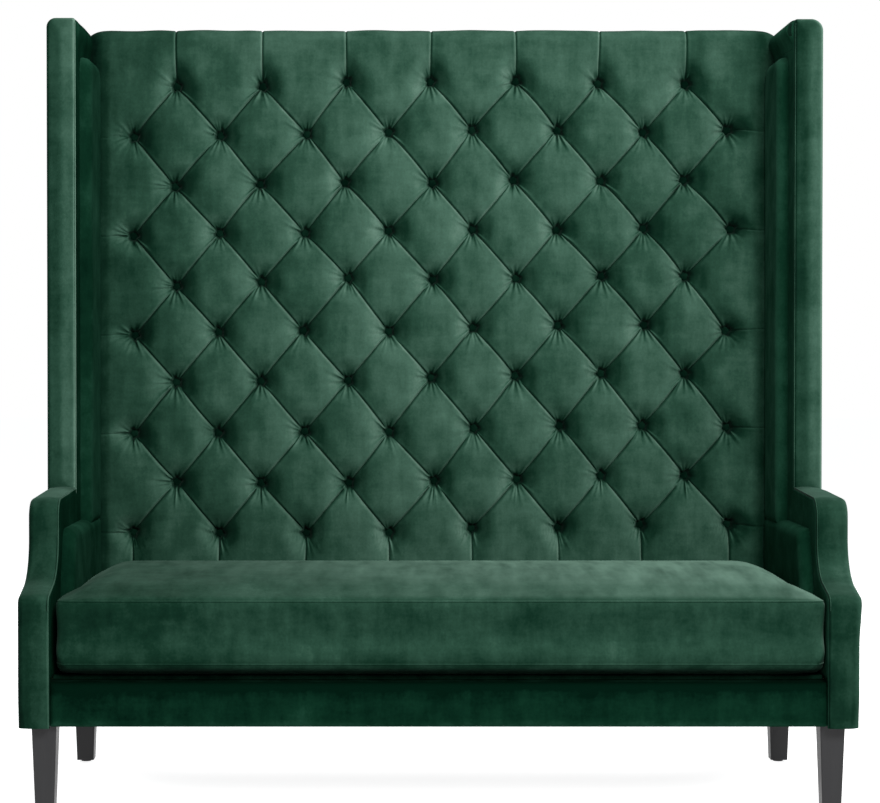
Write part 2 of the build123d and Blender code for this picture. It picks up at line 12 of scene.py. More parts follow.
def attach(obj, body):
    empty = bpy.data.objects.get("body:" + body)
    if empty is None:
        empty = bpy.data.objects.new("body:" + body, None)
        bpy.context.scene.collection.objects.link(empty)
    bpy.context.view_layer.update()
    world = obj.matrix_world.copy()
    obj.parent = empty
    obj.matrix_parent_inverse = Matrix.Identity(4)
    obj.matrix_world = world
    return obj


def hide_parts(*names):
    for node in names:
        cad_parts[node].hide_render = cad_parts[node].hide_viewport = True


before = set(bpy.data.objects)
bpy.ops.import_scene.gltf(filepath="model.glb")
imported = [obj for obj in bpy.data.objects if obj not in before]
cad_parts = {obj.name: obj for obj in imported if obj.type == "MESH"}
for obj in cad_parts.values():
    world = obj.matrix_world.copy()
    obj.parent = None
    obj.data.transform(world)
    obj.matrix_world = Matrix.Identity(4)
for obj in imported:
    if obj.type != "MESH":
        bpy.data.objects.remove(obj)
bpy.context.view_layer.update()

scene = bpy.context.scene
MM = 0.001
SIDES = {"left": -1, "right": 1}

# ---- sizes shared with the CAD, in mm
HALF_WIDTH = 800.0
FRONT_Y = -370.0
TOP_Z = 1580.0
BODY_Z = 175.0
FRAME_REAR_Y = 364.0
SIDE_INNER_X = 740.0
BOARD_INNER_X = 744.0
BOARD_OUTER_X = 796.0
WING_FRONT_Y = 14.0
FACING = 12.0
SEAT_Z = 269.3
BACK_BOARD_Y = 304.7
POST_FRONT_Y = 314.0
ARM_TOP = 613.5
ARM_SLOPE = math.radians(2.2)
ARM_PAD_TOP = 541.0
SEAT_HALF = 743.4
RAIL_TOP_Z = 1560.3

# Buttoned back
ROWS = 10
HALF_COLUMNS = 7
COLUMN = 92.0
ROW = 106.7
LOW_ROW_Z = 508.3
RISE = 0.0107
TUFT_EDGE = 739.7
ROLL_START_Z = 1554.0
ROLL_RADIUS = 26.0
MID_FOLD = 5.0
TOP_FOLD = 1.8
SIDE_FOLD = 4.0
PILLOW_REACH = 62.0
STRIP_REACH = 56.0
PIT_REACH = 28.0
PIT_DEPTH = 31.0
WELL_RADIUS = 10.3
PUCKER_REACH = 62.0
BUTTON_DEPTH = 40.0
BACK_LIFT = 10.5
CROWN_Y = 226.0
CROWN_LOW_Z = 269.0
CROWN_RISE = 20.0
CROWN_RUN = 1311.0

# How far each button sits from the even lattice, as (x, z) in mm: rows from the seat up, left to
# right. Measured on the photograph with a script, and rounded.
BUTTON_DRIFT = [
    [(-7, 1), (-2, -3), (1, -6), (-2, -8), (-9, 0), (-3, 1), (-10, 5), (-3, 4)],
    [(-4, 2), (-5, -2), (2, -4), (3, -3), (0, -2), (-4, 6), (-4, 5)],
    [(-5, 0), (-5, 0), (-3, 2), (-3, -1), (-3, 4), (0, 7), (-5, 6), (-6, 1)],
    [(-4, 4), (-6, 4), (1, 4), (-5, 10), (-4, 11), (-3, 13), (-5, 11)],
    [(-3, 2), (-5, 6), (-5, 6), (-4, 2), (-4, 10), (-5, 13), (1, 11), (-9, -4)],
    [(-3, 0), (-5, 8), (1, 13), (0, 7), (-3, 9), (-1, 13), (-6, 10)],
    [(-5, 2), (-3, 7), (0, 6), (-5, 8), (-5, 8), (-8, 5), (-2, 8), (3, 5)],
    [(-7, 1), (-7, 5), (-7, 8), (0, 4), (-10, 8), (-2, 4), (-8, 5)],
    [(-3, 5), (-1, 5), (4, 5), (-4, 9), (-7, 13), (-5, 9), (-3, 1), (-4, 5)],
    [(-4, 7), (0, 4), (-4, 11), (-4, 10), (-4, 10), (-9, 3), (-4, -2)],
]


# ---- node graphs
class Graph:
    """The node tree of a material or a world, with short calls for the nodes used here."""

    def __init__(self, owner, shader="Principled BSDF"):
        owner.use_nodes = True
        self.owner = owner
        self.tree = owner.node_tree
        self.shader = self.tree.nodes[shader]

    def node(self, kind, inputs=None, **settings):
        made = self.tree.nodes.new(kind)
        for key, value in settings.items():
            setattr(made, key, value)
        for key, value in (inputs or {}).items():
            self.feed(made.inputs[key], value)
        return made

    def feed(self, socket, value):
        if isinstance(value, bpy.types.NodeSocket):
            self.tree.links.new(value, socket)
        else:
            socket.default_value = value

    def set(self, **values):
        for key, value in values.items():
            self.feed(self.shader.inputs[key.replace("_", " ")], value)

    def noise(self, scale, detail=2.0, rough=0.5, stretch=(1, 1, 1)):
        coords = self.node("ShaderNodeTexCoord").outputs["Object"]
        placed = self.node("ShaderNodeMapping", {"Vector": coords, "Scale": stretch})
        made = self.node("ShaderNodeTexNoise", {"Vector": placed.outputs["Vector"], "Scale": scale,
                                                "Detail": detail, "Roughness": rough})
        return made.outputs["Fac"]

    def math(self, kind, a, b):
        return self.node("ShaderNodeMath", {0: a, 1: b}, operation=kind).outputs[0]

    def plus(self, a, b):
        return self.math("ADD", a, b)

    def minus(self, a, b):
        return self.math("SUBTRACT", a, b)

    def times(self, a, b):
        return self.math("MULTIPLY", a, b)

    def ramp(self, factor, *stops):
        """Map a 0-1 value through (place, colour) stops."""
        made = self.node("ShaderNodeValToRGB", {"Fac": factor})
        elements = made.color_ramp.elements
        while len(elements) < len(stops):
            elements.new(0.5)
        for element, (place, colour) in zip(elements, stops):
            element.position = place
            element.color = (*colour, 1.0)
        return made.outputs["Color"]

    def span(self, value, low, high, out_low=0.0, out_high=1.0):
        made = self.node("ShaderNodeMapRange", {"Value": value, "From Min": low, "From Max": high,
                                                "To Min": out_low, "To Max": out_high})
        made.interpolation_type = "SMOOTHSTEP"
        return made.outputs["Result"]

    def mix(self, factor, a, b):
        made = self.node("ShaderNodeMix", {0: factor, 6: a, 7: b}, data_type="RGBA")
        return made.outputs[2]

    def bump(self, height, strength, distance):
        made = self.node("ShaderNodeBump", {"Height": height, "Strength": strength,
                                            "Distance": distance})
        return made.outputs["Normal"]

    def show(self, lit, shown, output):
        """Camera, glossy and transmission rays meet shown, and the object's light meets lit."""
        path = self.node("ShaderNodeLightPath").outputs
        seen = self.math("MAXIMUM", path["Is Camera Ray"], path["Is Glossy Ray"])
        seen = self.math("MAXIMUM", seen, path["Is Transmission Ray"])
        choice = self.node("ShaderNodeMixShader", {"Fac": seen, 1: lit, 2: shown})
        self.feed(self.tree.nodes[output].inputs["Surface"], choice.outputs[0])


def material_graph(name):
    return Graph(bpy.data.materials.new(name))


# Places on the 0-1 tone scale, from deepest green to palest.
# The tone fed to them is partly the pile's lean and random marks, partly painted light and shade.
GREENS = [(0.00, (0.0015, 0.0105, 0.0060)), (0.22, (0.0065, 0.0300, 0.0170)),
          (0.45, (0.0230, 0.0680, 0.0440)), (0.70, (0.0620, 0.1350, 0.0960)),
          (1.00, (0.1500, 0.2600, 0.2000))]
DEEPEST_LEAN = -0.27


def velvet(name, nap, share, rest, edge, painted_falloff=None, pit_shade=False, sheen=0.12, combing=1.0,
           glow=None, tint=(1.0, 1.0, 1.0), clouds=1.0, bright=1.0, painted_shades=()):
    """Cut velvet. Faces turned towards nap are painted paler and faces turned away darker: partly
    the pile's lean, partly painted light and shade, as of light from the right and above.

    rest is the tone of a face turned to the front, set low on the copies painted as in shade,
    edge the painted sheen that pales a face seen edge-on, and painted_falloff painted light
    that falls off along X, as (amount, X of the palest place, width). combing scales the
    brush marks and clouds the broad marks, glow is the painted sheen from the left end to the
    right, tint deepens the colour of the copies painted as in shade, and bright scales the paler
    side of the lean alone. pit_shade paints shade where the back's cloth lies deep. painted_shades
    are painted light and shade across the piece, as (axis, start, end, tone at the start, tone at
    the end)."""
    g = material_graph(name)
    normal = g.node("ShaderNodeNewGeometry").outputs["Normal"]
    place = g.node("ShaderNodeTexCoord").outputs["Object"]
    place = g.node("ShaderNodeSeparateXYZ", {0: place}).outputs
    # Painted light and shade, partly the pile's lean: faces turned towards nap paler, faces turned away
    # darker.
    lean = g.node("ShaderNodeVectorMath", {0: normal, 1: nap}, operation="DOT_PRODUCT")
    broad = g.noise(5.0, 3.0, 0.55, (1.0, 1.0, 0.8))
    cloud = g.noise(17.0, 4.0, 0.62, (1.0, 1.0, 0.85))
    brushed = g.noise(62.0, 3.0, 0.6, (1.0, 1.0, 0.16))
    combed = g.noise(75.0, 2.0, 0.6, (0.2, 1.0, 1.0))
    mottle = g.noise(210.0, 2.0, 0.6)
    pile = g.noise(1500.0, 2.0, 0.6)

    tone = g.math("MAXIMUM", g.times(lean.outputs["Value"], share), DEEPEST_LEAN)
    tone = g.minus(tone, g.times(g.math("MAXIMUM", tone, 0.0), 1.0 - bright))
    for value, weight in ((broad, 0.30 * clouds), (cloud, 0.46 * clouds), (brushed, 0.18 * combing),
                          (combed, 0.12 * combing), (mottle, 0.14)):
        tone = g.plus(tone, g.times(g.minus(value, 0.5), weight))
    tone = g.plus(tone, rest + share * nap[1])
    # Painted light that falls off to both sides of its palest place along X.
    if painted_falloff is not None:
        amount, palest, width = painted_falloff
        away = g.math("DIVIDE", g.minus(place[0], palest), width)
        tone = g.minus(tone, g.times(g.times(away, away), amount))
    # Painted shade: the tone falls where the cloth lies far behind the crowns, in the pits round the
    # buttons.
    if pit_shade:
        slope = CROWN_RISE / CROWN_RUN
        crown = g.plus(g.times(place[2], slope), (CROWN_Y - CROWN_LOW_Z * slope) * MM)
        pit_shade_amount = g.span(g.minus(place[1], crown), 0.011, 0.036, 0.0, 0.60)
        tone = g.minus(tone, g.times(pit_shade_amount, g.span(place[1], 0.28, 0.30, 1.0, 0.0)))
    # Painted light and shade in bands across the piece.
    for axis, start, end, first, last in painted_shades:
        tone = g.plus(tone, g.span(place[axis], start, end, first, last))
    greens = [(at, tuple(c * t for c, t in zip(green, tint))) for at, green in GREENS]
    colour = g.ramp(tone, *greens)

    # Painted sheen: the colour is mixed towards a pale green where a face is seen edge-on, by the share
    # edge.
    painted_sheen = g.node("ShaderNodeLayerWeight", {"Blend": 0.22}).outputs["Facing"]
    painted_sheen = g.times(g.math("POWER", painted_sheen, 1.5), edge)
    # On the seat the painted sheen grows from the left end to the right, lies in streaks, and only on
    # faces turned up, where the light from above falls.
    if glow is not None:
        streaks = g.noise(24.0, 3.0, 0.55, (1.0, 0.22, 1.0))
        patchy = g.minus(g.plus(g.times(streaks, 2.2), g.times(broad, 0.6)), 0.46)
        upward = g.node("ShaderNodeSeparateXYZ", {0: normal}).outputs[2]
        for part in (g.span(place[0], -0.75, 0.75, *glow), patchy,
                     g.span(upward, -0.15, 0.35, 0.0, 1.0)):
            painted_sheen = g.times(painted_sheen, part)
    # The pale green of the painted sheen, paler still on the seat.
    palest = tuple(c * (1.3 if glow else 1.0) for c in greens[-1][1])
    height = g.plus(g.times(pile, 0.5), g.times(mottle, 0.9))
    g.set(Base_Color=g.mix(g.math("MINIMUM", painted_sheen, 1.0), colour, (*palest, 1.0)), Roughness=0.9,
          Specular_IOR_Level=0.0, Sheen_Weight=sheen, Sheen_Roughness=0.40,
          Sheen_Tint=(0.60, 0.95, 0.78, 1.0), Normal=g.bump(height, 0.25, 0.0006))
    return g.owner


def woven(name, colour, scale=900.0):
    """A plain weave: two crossed sets of threads."""
    g = material_graph(name)
    coords = g.node("ShaderNodeTexCoord").outputs["Object"]
    threads = [g.node("ShaderNodeTexWave", {"Vector": coords, "Scale": scale / 6.3,
                                            "Distortion": 0.6, "Detail": 1.0},
                      wave_type="BANDS", bands_direction=axis).outputs["Fac"] for axis in "XY"]
    weave = g.times(*threads)
    tone = g.plus(g.times(weave, 0.6), g.times(g.noise(35.0, 3.0), 0.4))
    dark = tuple(0.55 * c for c in colour)
    g.set(Base_Color=g.ramp(tone, (0.1, dark), (0.8, colour)), Roughness=0.9,
          Specular_IOR_Level=0.2, Sheen_Weight=0.15, Normal=g.bump(weave, 0.5, 0.0004))
    return g.owner


def timber(name, colour, dark, rough, stretch, scale=14.0, bump=0.15, coat=0.0, gloss=0.4):
    """Wood: grain drawn out along one axis, with fine pores."""
    g = material_graph(name)
    grain = g.noise(scale, 5.0, 0.65, stretch)
    pores = g.noise(scale * 9, 3.0, 0.6, stretch)
    tone = g.plus(g.times(grain, 0.7), g.times(pores, 0.3))
    worn = g.plus(g.times(g.noise(9.0, 2.0), 0.5), g.times(pores, 0.5))
    g.set(Base_Color=g.ramp(tone, (0.3, dark), (0.72, colour)),
          Roughness=g.span(worn, 0.3, 0.7, rough - 0.06, rough + 0.1),
          Specular_IOR_Level=gloss, Coat_Weight=coat, Coat_Roughness=0.25,
          Normal=g.bump(tone, bump, 0.0005))
    return g.owner


def metal(name, colour, rough, metallic=1.0):
    g = material_graph(name)
    brushed = g.noise(260.0, 3.0, 0.6, (1, 1, 0.1))
    tone = g.plus(g.times(brushed, 0.5), g.times(g.noise(40.0, 3.0), 0.5))
    g.set(Base_Color=g.ramp(tone, (0.3, tuple(0.7 * c for c in colour)), (0.7, colour)),
          Metallic=metallic, Roughness=g.span(tone, 0.3, 0.7, rough - 0.08, rough + 0.1),
          Normal=g.bump(tone, 0.1, 0.0003))
    return g.owner


# Velvet without sheen, real or painted, and the deeper copy painted as shade for the velvet inside the
# sides
MATT = {"edge": 0.0, "sheen": 0.0}
SHADED_INSIDE = {**MATT, "combing": 0.25, "tint": (0.70, 1.0, 0.92)}
# The back: painted light falling off to both sides where the wings shade it, painted shade in its pits,
# and the right pad's painted shadow at its right edge.
velvet_back = velvet("velvet_back", (0.98, 0.0, 0.12), 0.72, 0.555, edge=0.1,
                     painted_falloff=(0.16, 0.08, 0.72), pit_shade=True, bright=0.64, sheen=0.05,
                     painted_shades=[(0, 0.684, 0.712, 0.0, -0.26)])
# The buttons' velvet is painted near black, as the shade deep in their pits.
velvet_button = velvet("velvet_button", (0.3, 0.0, 0.1), 0.20, 0.03, **MATT)
# The wing fronts: the right wing's front is painted a little darker on its inner half, as shade.
velvet_facing = velvet("velvet_facing", (0.9, 0.0, 0.30), 0.95, 0.45, edge=0.2, sheen=0.08,
                       painted_shades=[(0, 0.70, 0.745, 0.0, -0.07), (0, 0.752, 0.792, 0.0, 0.08)])
# The arm fronts: a darker copy, painted shade as the light falls off towards the bottom.
velvet_arm = velvet("velvet_arm", (0.7, 0.0, 0.30), 0.55, 0.26, edge=0.1)
# Wing pads, linings and arm pads: deeper copies painted as standing in shade inside the sides.
velvet_inner = velvet("velvet_inner", (-0.20, 0.62, 0.35), 0.40, 0.20, **SHADED_INSIDE)
velvet_lining = velvet("velvet_lining", (-0.30, 0.0, 0.35), 0.40, 0.30, **SHADED_INSIDE)
velvet_pad = velvet("velvet_pad", (-0.10, 0.70, 0.0), 0.30, 0.16, **SHADED_INSIDE)
# Near-black velvet for the lip and apron in the gap under the cushion's front: painted shade.
velvet_gap = velvet("velvet_gap", (0.0, 0.0, -0.2), 0.30, 0.12, **MATT)
velvet_body = velvet("velvet_body", (0.25, 0.0, 0.55), 0.40, 0.42, edge=0.2)
# The cushion: painted sheen on its top, growing to the right, and painted light falling off from a place
# right of the middle.
velvet_seat = velvet("velvet_seat", (0.05, 0.0, 0.60), 0.20, 0.345, edge=1.0,
                     painted_falloff=(0.10, 0.30, 0.9), sheen=0.04, glow=(0.36, 1.75), clouds=1.1)
# The front border: a darker copy with painted shade under the cushion, darkest at its top.
velvet_border = velvet("velvet_border", (0.0, 0.0, -0.8), 0.35, 0.14, **MATT,
                       tint=(0.68, 1.0, 0.92), painted_shades=[(2, 0.215, 0.258, 0.0, -0.13)])
deck_cloth = woven("deck_cloth", (0.020, 0.050, 0.035))
dust_cloth = woven("dust_cloth", (0.020, 0.020, 0.021), scale=1400.0)
webbing_cloth = woven("webbing_cloth", (0.42, 0.33, 0.20), scale=500.0)
twine = woven("twine", (0.50, 0.44, 0.33), scale=1800.0)
satin_black = timber("satin_black", (0.021, 0.021, 0.023), (0.010, 0.010, 0.011), 0.46,
                     (1.0, 1.0, 0.06), 30.0, 0.12, 0.10, 0.30)
frame_timber = timber("frame_timber", (0.52, 0.36, 0.20), (0.34, 0.21, 0.11), 0.6, (0.08, 1, 1))
plywood = timber("plywood", (0.56, 0.41, 0.25), (0.40, 0.27, 0.15), 0.65, (1, 1, 0.1), 11.0)
steel = metal("steel", (0.55, 0.55, 0.56), 0.38)
glide_plastic = metal("glide_plastic", (0.030, 0.030, 0.032), 0.5, 0.0)


# ---- mesh helpers
def make_object(name, points, faces, material, smooth_angle=50.0, weld=0.0):
    """A mesh object from points in mm, smooth shaded but for its sharp edges."""
    mesh = bpy.data.meshes.new(name)
    mesh.from_pydata((np.asarray(points, float) * MM).tolist(), [], faces)
    if weld:
        bm = bmesh.new()
        bm.from_mesh(mesh)
        bmesh.ops.remove_doubles(bm, verts=bm.verts, dist=weld * MM)
        bm.to_mesh(mesh)
        bm.free()
    mesh.materials.append(material)
    obj = bpy.data.objects.new(name, mesh)
    scene.collection.objects.link(obj)
    outward(obj, smooth_angle)
    return obj


def outward(obj, smooth_angle=50.0):
    """Turn every face outwards and set smooth shading."""
    bm = bmesh.new()
    bm.from_mesh(obj.data)
    bmesh.ops.recalc_face_normals(bm, faces=bm.faces)
    bm.to_mesh(obj.data)
    bm.free()
    obj.data.shade_smooth()
    obj.data.set_sharp_from_angle(angle=math.radians(smooth_angle))


def joined(name, parts):
    """Join several objects into the first and name it."""
    bpy.ops.object.select_all(action="DESELECT")
    for part in parts:
        part.select_set(True)
    bpy.context.view_layer.objects.active = parts[0]
    bpy.ops.object.join()
    parts[0].name = name
    parts[0].data.name = name
    return parts[0]


def mount(obj, *nodes, slot="velvet", body="settee", fill=None):
    """Ride on the body and stand for the nodes, hiding them. slot and fill are not used."""
    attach(obj, body)
    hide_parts(*nodes)


def waves(seed, count, low, high):
    """A smooth random field from a few sine waves, lengths in mm, about -1 to 1."""
    rng = np.random.default_rng(seed)
    length = rng.uniform(low, high, count)
    way = rng.normal(size=(count, 3))
    way /= np.linalg.norm(way, axis=1)[:, None]
    phase = rng.uniform(0, 2 * math.pi, count)

    def field(points):
        turns = points @ (way * (2 * math.pi / length)[:, None]).T + phase
        return np.sin(turns).sum(1) / math.sqrt(count)
    return field


def smoothstep(value, low, high):
    t = np.clip((value - low) / (high - low), 0.0, 1.0)
    return t * t * (3 - 2 * t)


def between_four(u, v, a, b, c, d):
    """The place at shares u and v among four corners in turn."""
    return (1 - u) * (1 - v) * a + u * (1 - v) * b + u * v * c + (1 - u) * v * d


def arc(centre, radius, start, end, steps):
    """Points on an arc between two angles in degrees, both ends included."""
    angles = np.radians(np.linspace(start, end, steps + 1))
    return [(centre[0] + radius * math.cos(a), centre[1] + radius * math.sin(a)) for a in angles]


def straight(a, b, steps):
    return [(a[0] + (b[0] - a[0]) * k / steps, a[1] + (b[1] - a[1]) * k / steps)
            for k in range(steps + 1)]


def chained(*runs):
    """Runs of points end to end, without doubles."""
    points = [runs[0][0]]
    for run in runs:
        for p in run:
            if math.hypot(p[0] - points[-1][0], p[1] - points[-1][1]) > 0.05:
                points.append(p)
    return points


def resampled(points, step):
    """A closed outline with its long runs divided."""
    result = []
    for a, b in zip(points, points[1:] + points[:1]):
        result += straight(a, b, max(1, round(math.hypot(b[0] - a[0], b[1] - a[1]) / step)))[:-1]
    return result


def edge_distance(points, outline):
    """Distance of each point from a closed outline."""
    best = np.full(len(points), 1e9)
    for a, b in zip(outline, np.roll(outline, -1, axis=0)):
        along = b - a
        t = np.clip(((points - a) @ along) / max(along @ along, 1e-12), 0, 1)
        best = np.minimum(best, np.linalg.norm(points - a - t[:, None] * along, axis=1))
    return best


def rounded_height(t, edge):
    """Height of a quarter-round edge at a distance t from the outline, 0 to edge."""
    return np.sqrt(np.maximum(edge ** 2 - (edge - np.clip(t, 0, edge)) ** 2, 0.0))


def plane(axis, level, way):
    """Places outline points at a level on an axis, with their heights built up along way."""
    def place(points, heights):
        placed = np.zeros((len(points), 3))
        placed[:, [k for k in range(3) if k != axis]] = points
        placed[:, axis] = level + way * heights
        return placed
    return place


def circle(sides):
    """Cosines and sines of even steps round a circle."""
    turns = [2 * math.pi * k / sides for k in range(sides)]
    return [(math.cos(a), math.sin(a)) for a in turns]


def ring_faces(rings, sides, start=0, closed=False, caps=(0, -1)):
    """Faces between rings of points in turn, with caps on the first and last unless closed."""
    faces = []
    for ring in range(rings if closed else rings - 1):
        a, b = start + ring * sides, start + (ring + 1) % rings * sides
        faces += [[a + k, a + (k + 1) % sides, b + (k + 1) % sides, b + k] for k in range(sides)]
    for cap in () if closed else caps:
        first = start + cap % rings * sides
        faces.append(list(range(first, first + sides)))
    return faces


def slab(name, outline, place, thickness, edge, material, crown=0.0, reach=60.0, grid=14.0,
         step=8.0, wobble=0.4, seed=1, tuck=None):
    """An upholstered panel: an outline, a soft rounded rim and a slightly crowned face.

    place(points, heights) maps outline points and heights above the base to the row frame."""
    outline = np.array(resampled([tuple(p) for p in outline], step))
    after = np.roll(outline, -1, axis=0)
    if np.sum(outline[:, 0] * after[:, 1] - after[:, 0] * outline[:, 1]) < 0:
        outline = outline[::-1]
    count = len(outline)
    along = np.roll(outline, -1, axis=0) - np.roll(outline, 1, axis=0)
    inward = np.stack([-along[:, 1], along[:, 0]], 1)
    inward /= np.linalg.norm(inward, axis=1)[:, None]

    points = [outline]
    offsets = [edge * (1 - math.cos(math.radians(a))) for a in (28, 50, 70, 88)]
    offsets += [edge + 4, edge + 10]
    for offset in offsets:
        moved = outline + inward * offset
        points.append(moved[edge_distance(moved, outline) > offset * 0.97 - 0.02])
    low, high = outline.min(0), outline.max(0)
    xs, ys = np.meshgrid(np.arange(low[0] + grid / 2, high[0], grid),
                         np.arange(low[1] + grid / 2, high[1], grid))
    xs[1::2] += grid / 2
    inner = np.stack([xs.ravel(), ys.ravel()], 1)
    points.append(inner[edge_distance(inner, outline) > edge + 10 + grid * 0.6])
    flat = np.concatenate(points)
    ring = [(k, (k + 1) % count) for k in range(count)]
    flat, _, faces, origin = delaunay_2d_cdt([Vector(p) for p in flat], ring, [], 1, 1e-4)[:4]
    flat = np.array([tuple(v) for v in flat])
    rim = [next(k for k, o in enumerate(origin) if want in o) for want in range(count)]

    t = edge_distance(flat, outline)
    t[rim] = 0.0
    height = thickness - edge + rounded_height(t, edge) + crown * (1 - np.exp(-(t / reach) ** 2 * 2))
    if wobble:
        soft = smoothstep(t, 0, edge + 20)
        height = height + wobble * soft * waves(seed, 10, 90, 420)(place(flat, height))
    points = np.concatenate([place(flat, height), place(flat[rim], np.zeros(count))])
    total = len(flat)
    faces = [list(f) for f in faces]
    faces += [[rim[k], rim[(k + 1) % count], total + (k + 1) % count, total + k] for k in range(count)]
    faces.append([total + k for k in range(count)])
    return make_object(name, points if tuck is None else tuck(points), faces, material)


def tube(name, line, radius, material, closed=False):
    """A thin rope of cloth, such as a seam ridge, along points in mm."""
    sides = 8
    line = np.array(line, float)
    ahead = np.roll(line, -1, axis=0)
    behind = np.roll(line, 1, axis=0)
    if not closed:
        ahead[-1], behind[0] = line[-1], line[0]
    along = ahead - behind
    along /= np.linalg.norm(along, axis=1)[:, None]
    start = np.array([0.0, 0.0, 1.0]) if abs(along[0][2]) < 0.9 else np.array([1.0, 0.0, 0.0])
    points = []
    for p, d in zip(line, along):
        start = start - d * (start @ d)
        start /= np.linalg.norm(start)
        other = np.cross(d, start)
        points += [p + radius * (c * start + s * other) for c, s in circle(sides)]
    return make_object(name, points, ring_faces(len(line), sides, closed=closed), material)


# ---- buttoned back
def crown_y(z):
    """Y of the pillow crowns at a height."""
    return CROWN_Y + CROWN_RISE * (z - CROWN_LOW_Z) / CROWN_RUN


def lattice(column, row):
    """X and height of a lattice place."""
    x = column * COLUMN
    return x, LOW_ROW_Z + row * ROW + RISE * x


def is_button(column, row):
    return (column + row) % 2 == 1 and abs(column) <= HALF_COLUMNS and 0 <= row < ROWS


BUTTONS = [(c, r) for r in range(ROWS) for c in range(-HALF_COLUMNS, HALF_COLUMNS + 1)
           if is_button(c, r)]
BUTTON_XZ = np.array([lattice(c, r) for c, r in BUTTONS])
DRIFT = np.array([shift for row in BUTTON_DRIFT for shift in row], float)
ROLL_LENGTH = ROLL_RADIUS * math.pi / 2
FLAT_LENGTH = FRAME_REAR_Y - (crown_y(ROLL_START_Z) + ROLL_RADIUS)
SHEET_END = ROLL_START_Z + ROLL_LENGTH + FLAT_LENGTH


def fold_lines():
    """Every fold as (start, end, kind), in x and distance up the cloth."""
    folds = []
    for c, r in BUTTONS:
        x, z = lattice(c, r)
        for side in (-1, 1):
            if is_button(c + side, r + 1):
                folds.append(((x, z), lattice(c + side, r + 1), "fold"))
        if r == 0:
            folds.append(((x, z), (x, SEAT_Z - 20), "low"))
        if r == ROWS - 1:
            folds.append(((x, z), (x, SHEET_END + 20), "top"))
        if abs(c) == HALF_COLUMNS:
            folds.append(((x, z), (math.copysign(TUFT_EDGE + 20, x), z), "side"))
    return folds


def drift_grid():
    """The drift at each crossing of the two sets of folds, carried on past the outer buttons."""
    places = np.array(BUTTONS, float)
    reach = HALF_COLUMNS + ROWS
    grid = np.zeros((2 * reach, 2 * reach, 2))
    for a in range(-reach, reach):
        for b in range(-reach, reach):
            gap = np.sum((places - (a - b, a + b + 1)) ** 2, axis=1)
            weight = 1 / (gap + 0.001) ** 2
            grid[a + reach, b + reach] = (weight[:, None] * DRIFT).sum(0) / weight.sum()
    return grid, reach


DRIFT_GRID, DRIFT_REACH = drift_grid()


def drift(points):
    """Shift places of the even lattice to where the work really pulled them."""
    origin, column, row = (np.array(lattice(*p)) for p in ((0, 0), (1, 0), (0, 1)))
    steps = np.linalg.solve(np.stack([column - origin, row - origin], 1), (points - origin).T)
    a = np.clip((steps[0] + steps[1] - 1) / 2 + DRIFT_REACH, 0, 2 * DRIFT_REACH - 1.001)
    b = np.clip((steps[1] - steps[0] - 1) / 2 + DRIFT_REACH, 0, 2 * DRIFT_REACH - 1.001)
    i, j = a.astype(int), b.astype(int)
    moved = between_four((a - i)[:, None], (b - j)[:, None], DRIFT_GRID[i, j], DRIFT_GRID[i + 1, j],
                         DRIFT_GRID[i + 1, j + 1], DRIFT_GRID[i, j + 1])
    moved[:, 0] += 0.9 * np.sin(points[:, 1] / 41.0 + points[:, 0] / 67.0)
    moved[:, 1] += 0.9 * np.sin(points[:, 0] / 37.0 - points[:, 1] / 59.0)
    keep_x = 1 - smoothstep(np.abs(points[:, 0]), 665, 712)
    keep_z = smoothstep(points[:, 1], SEAT_Z, SEAT_Z + 90) * (1 - smoothstep(points[:, 1], 1500, 1552))
    moved[:, 0] *= keep_x
    moved[:, 1] *= keep_z * keep_x
    return points + moved


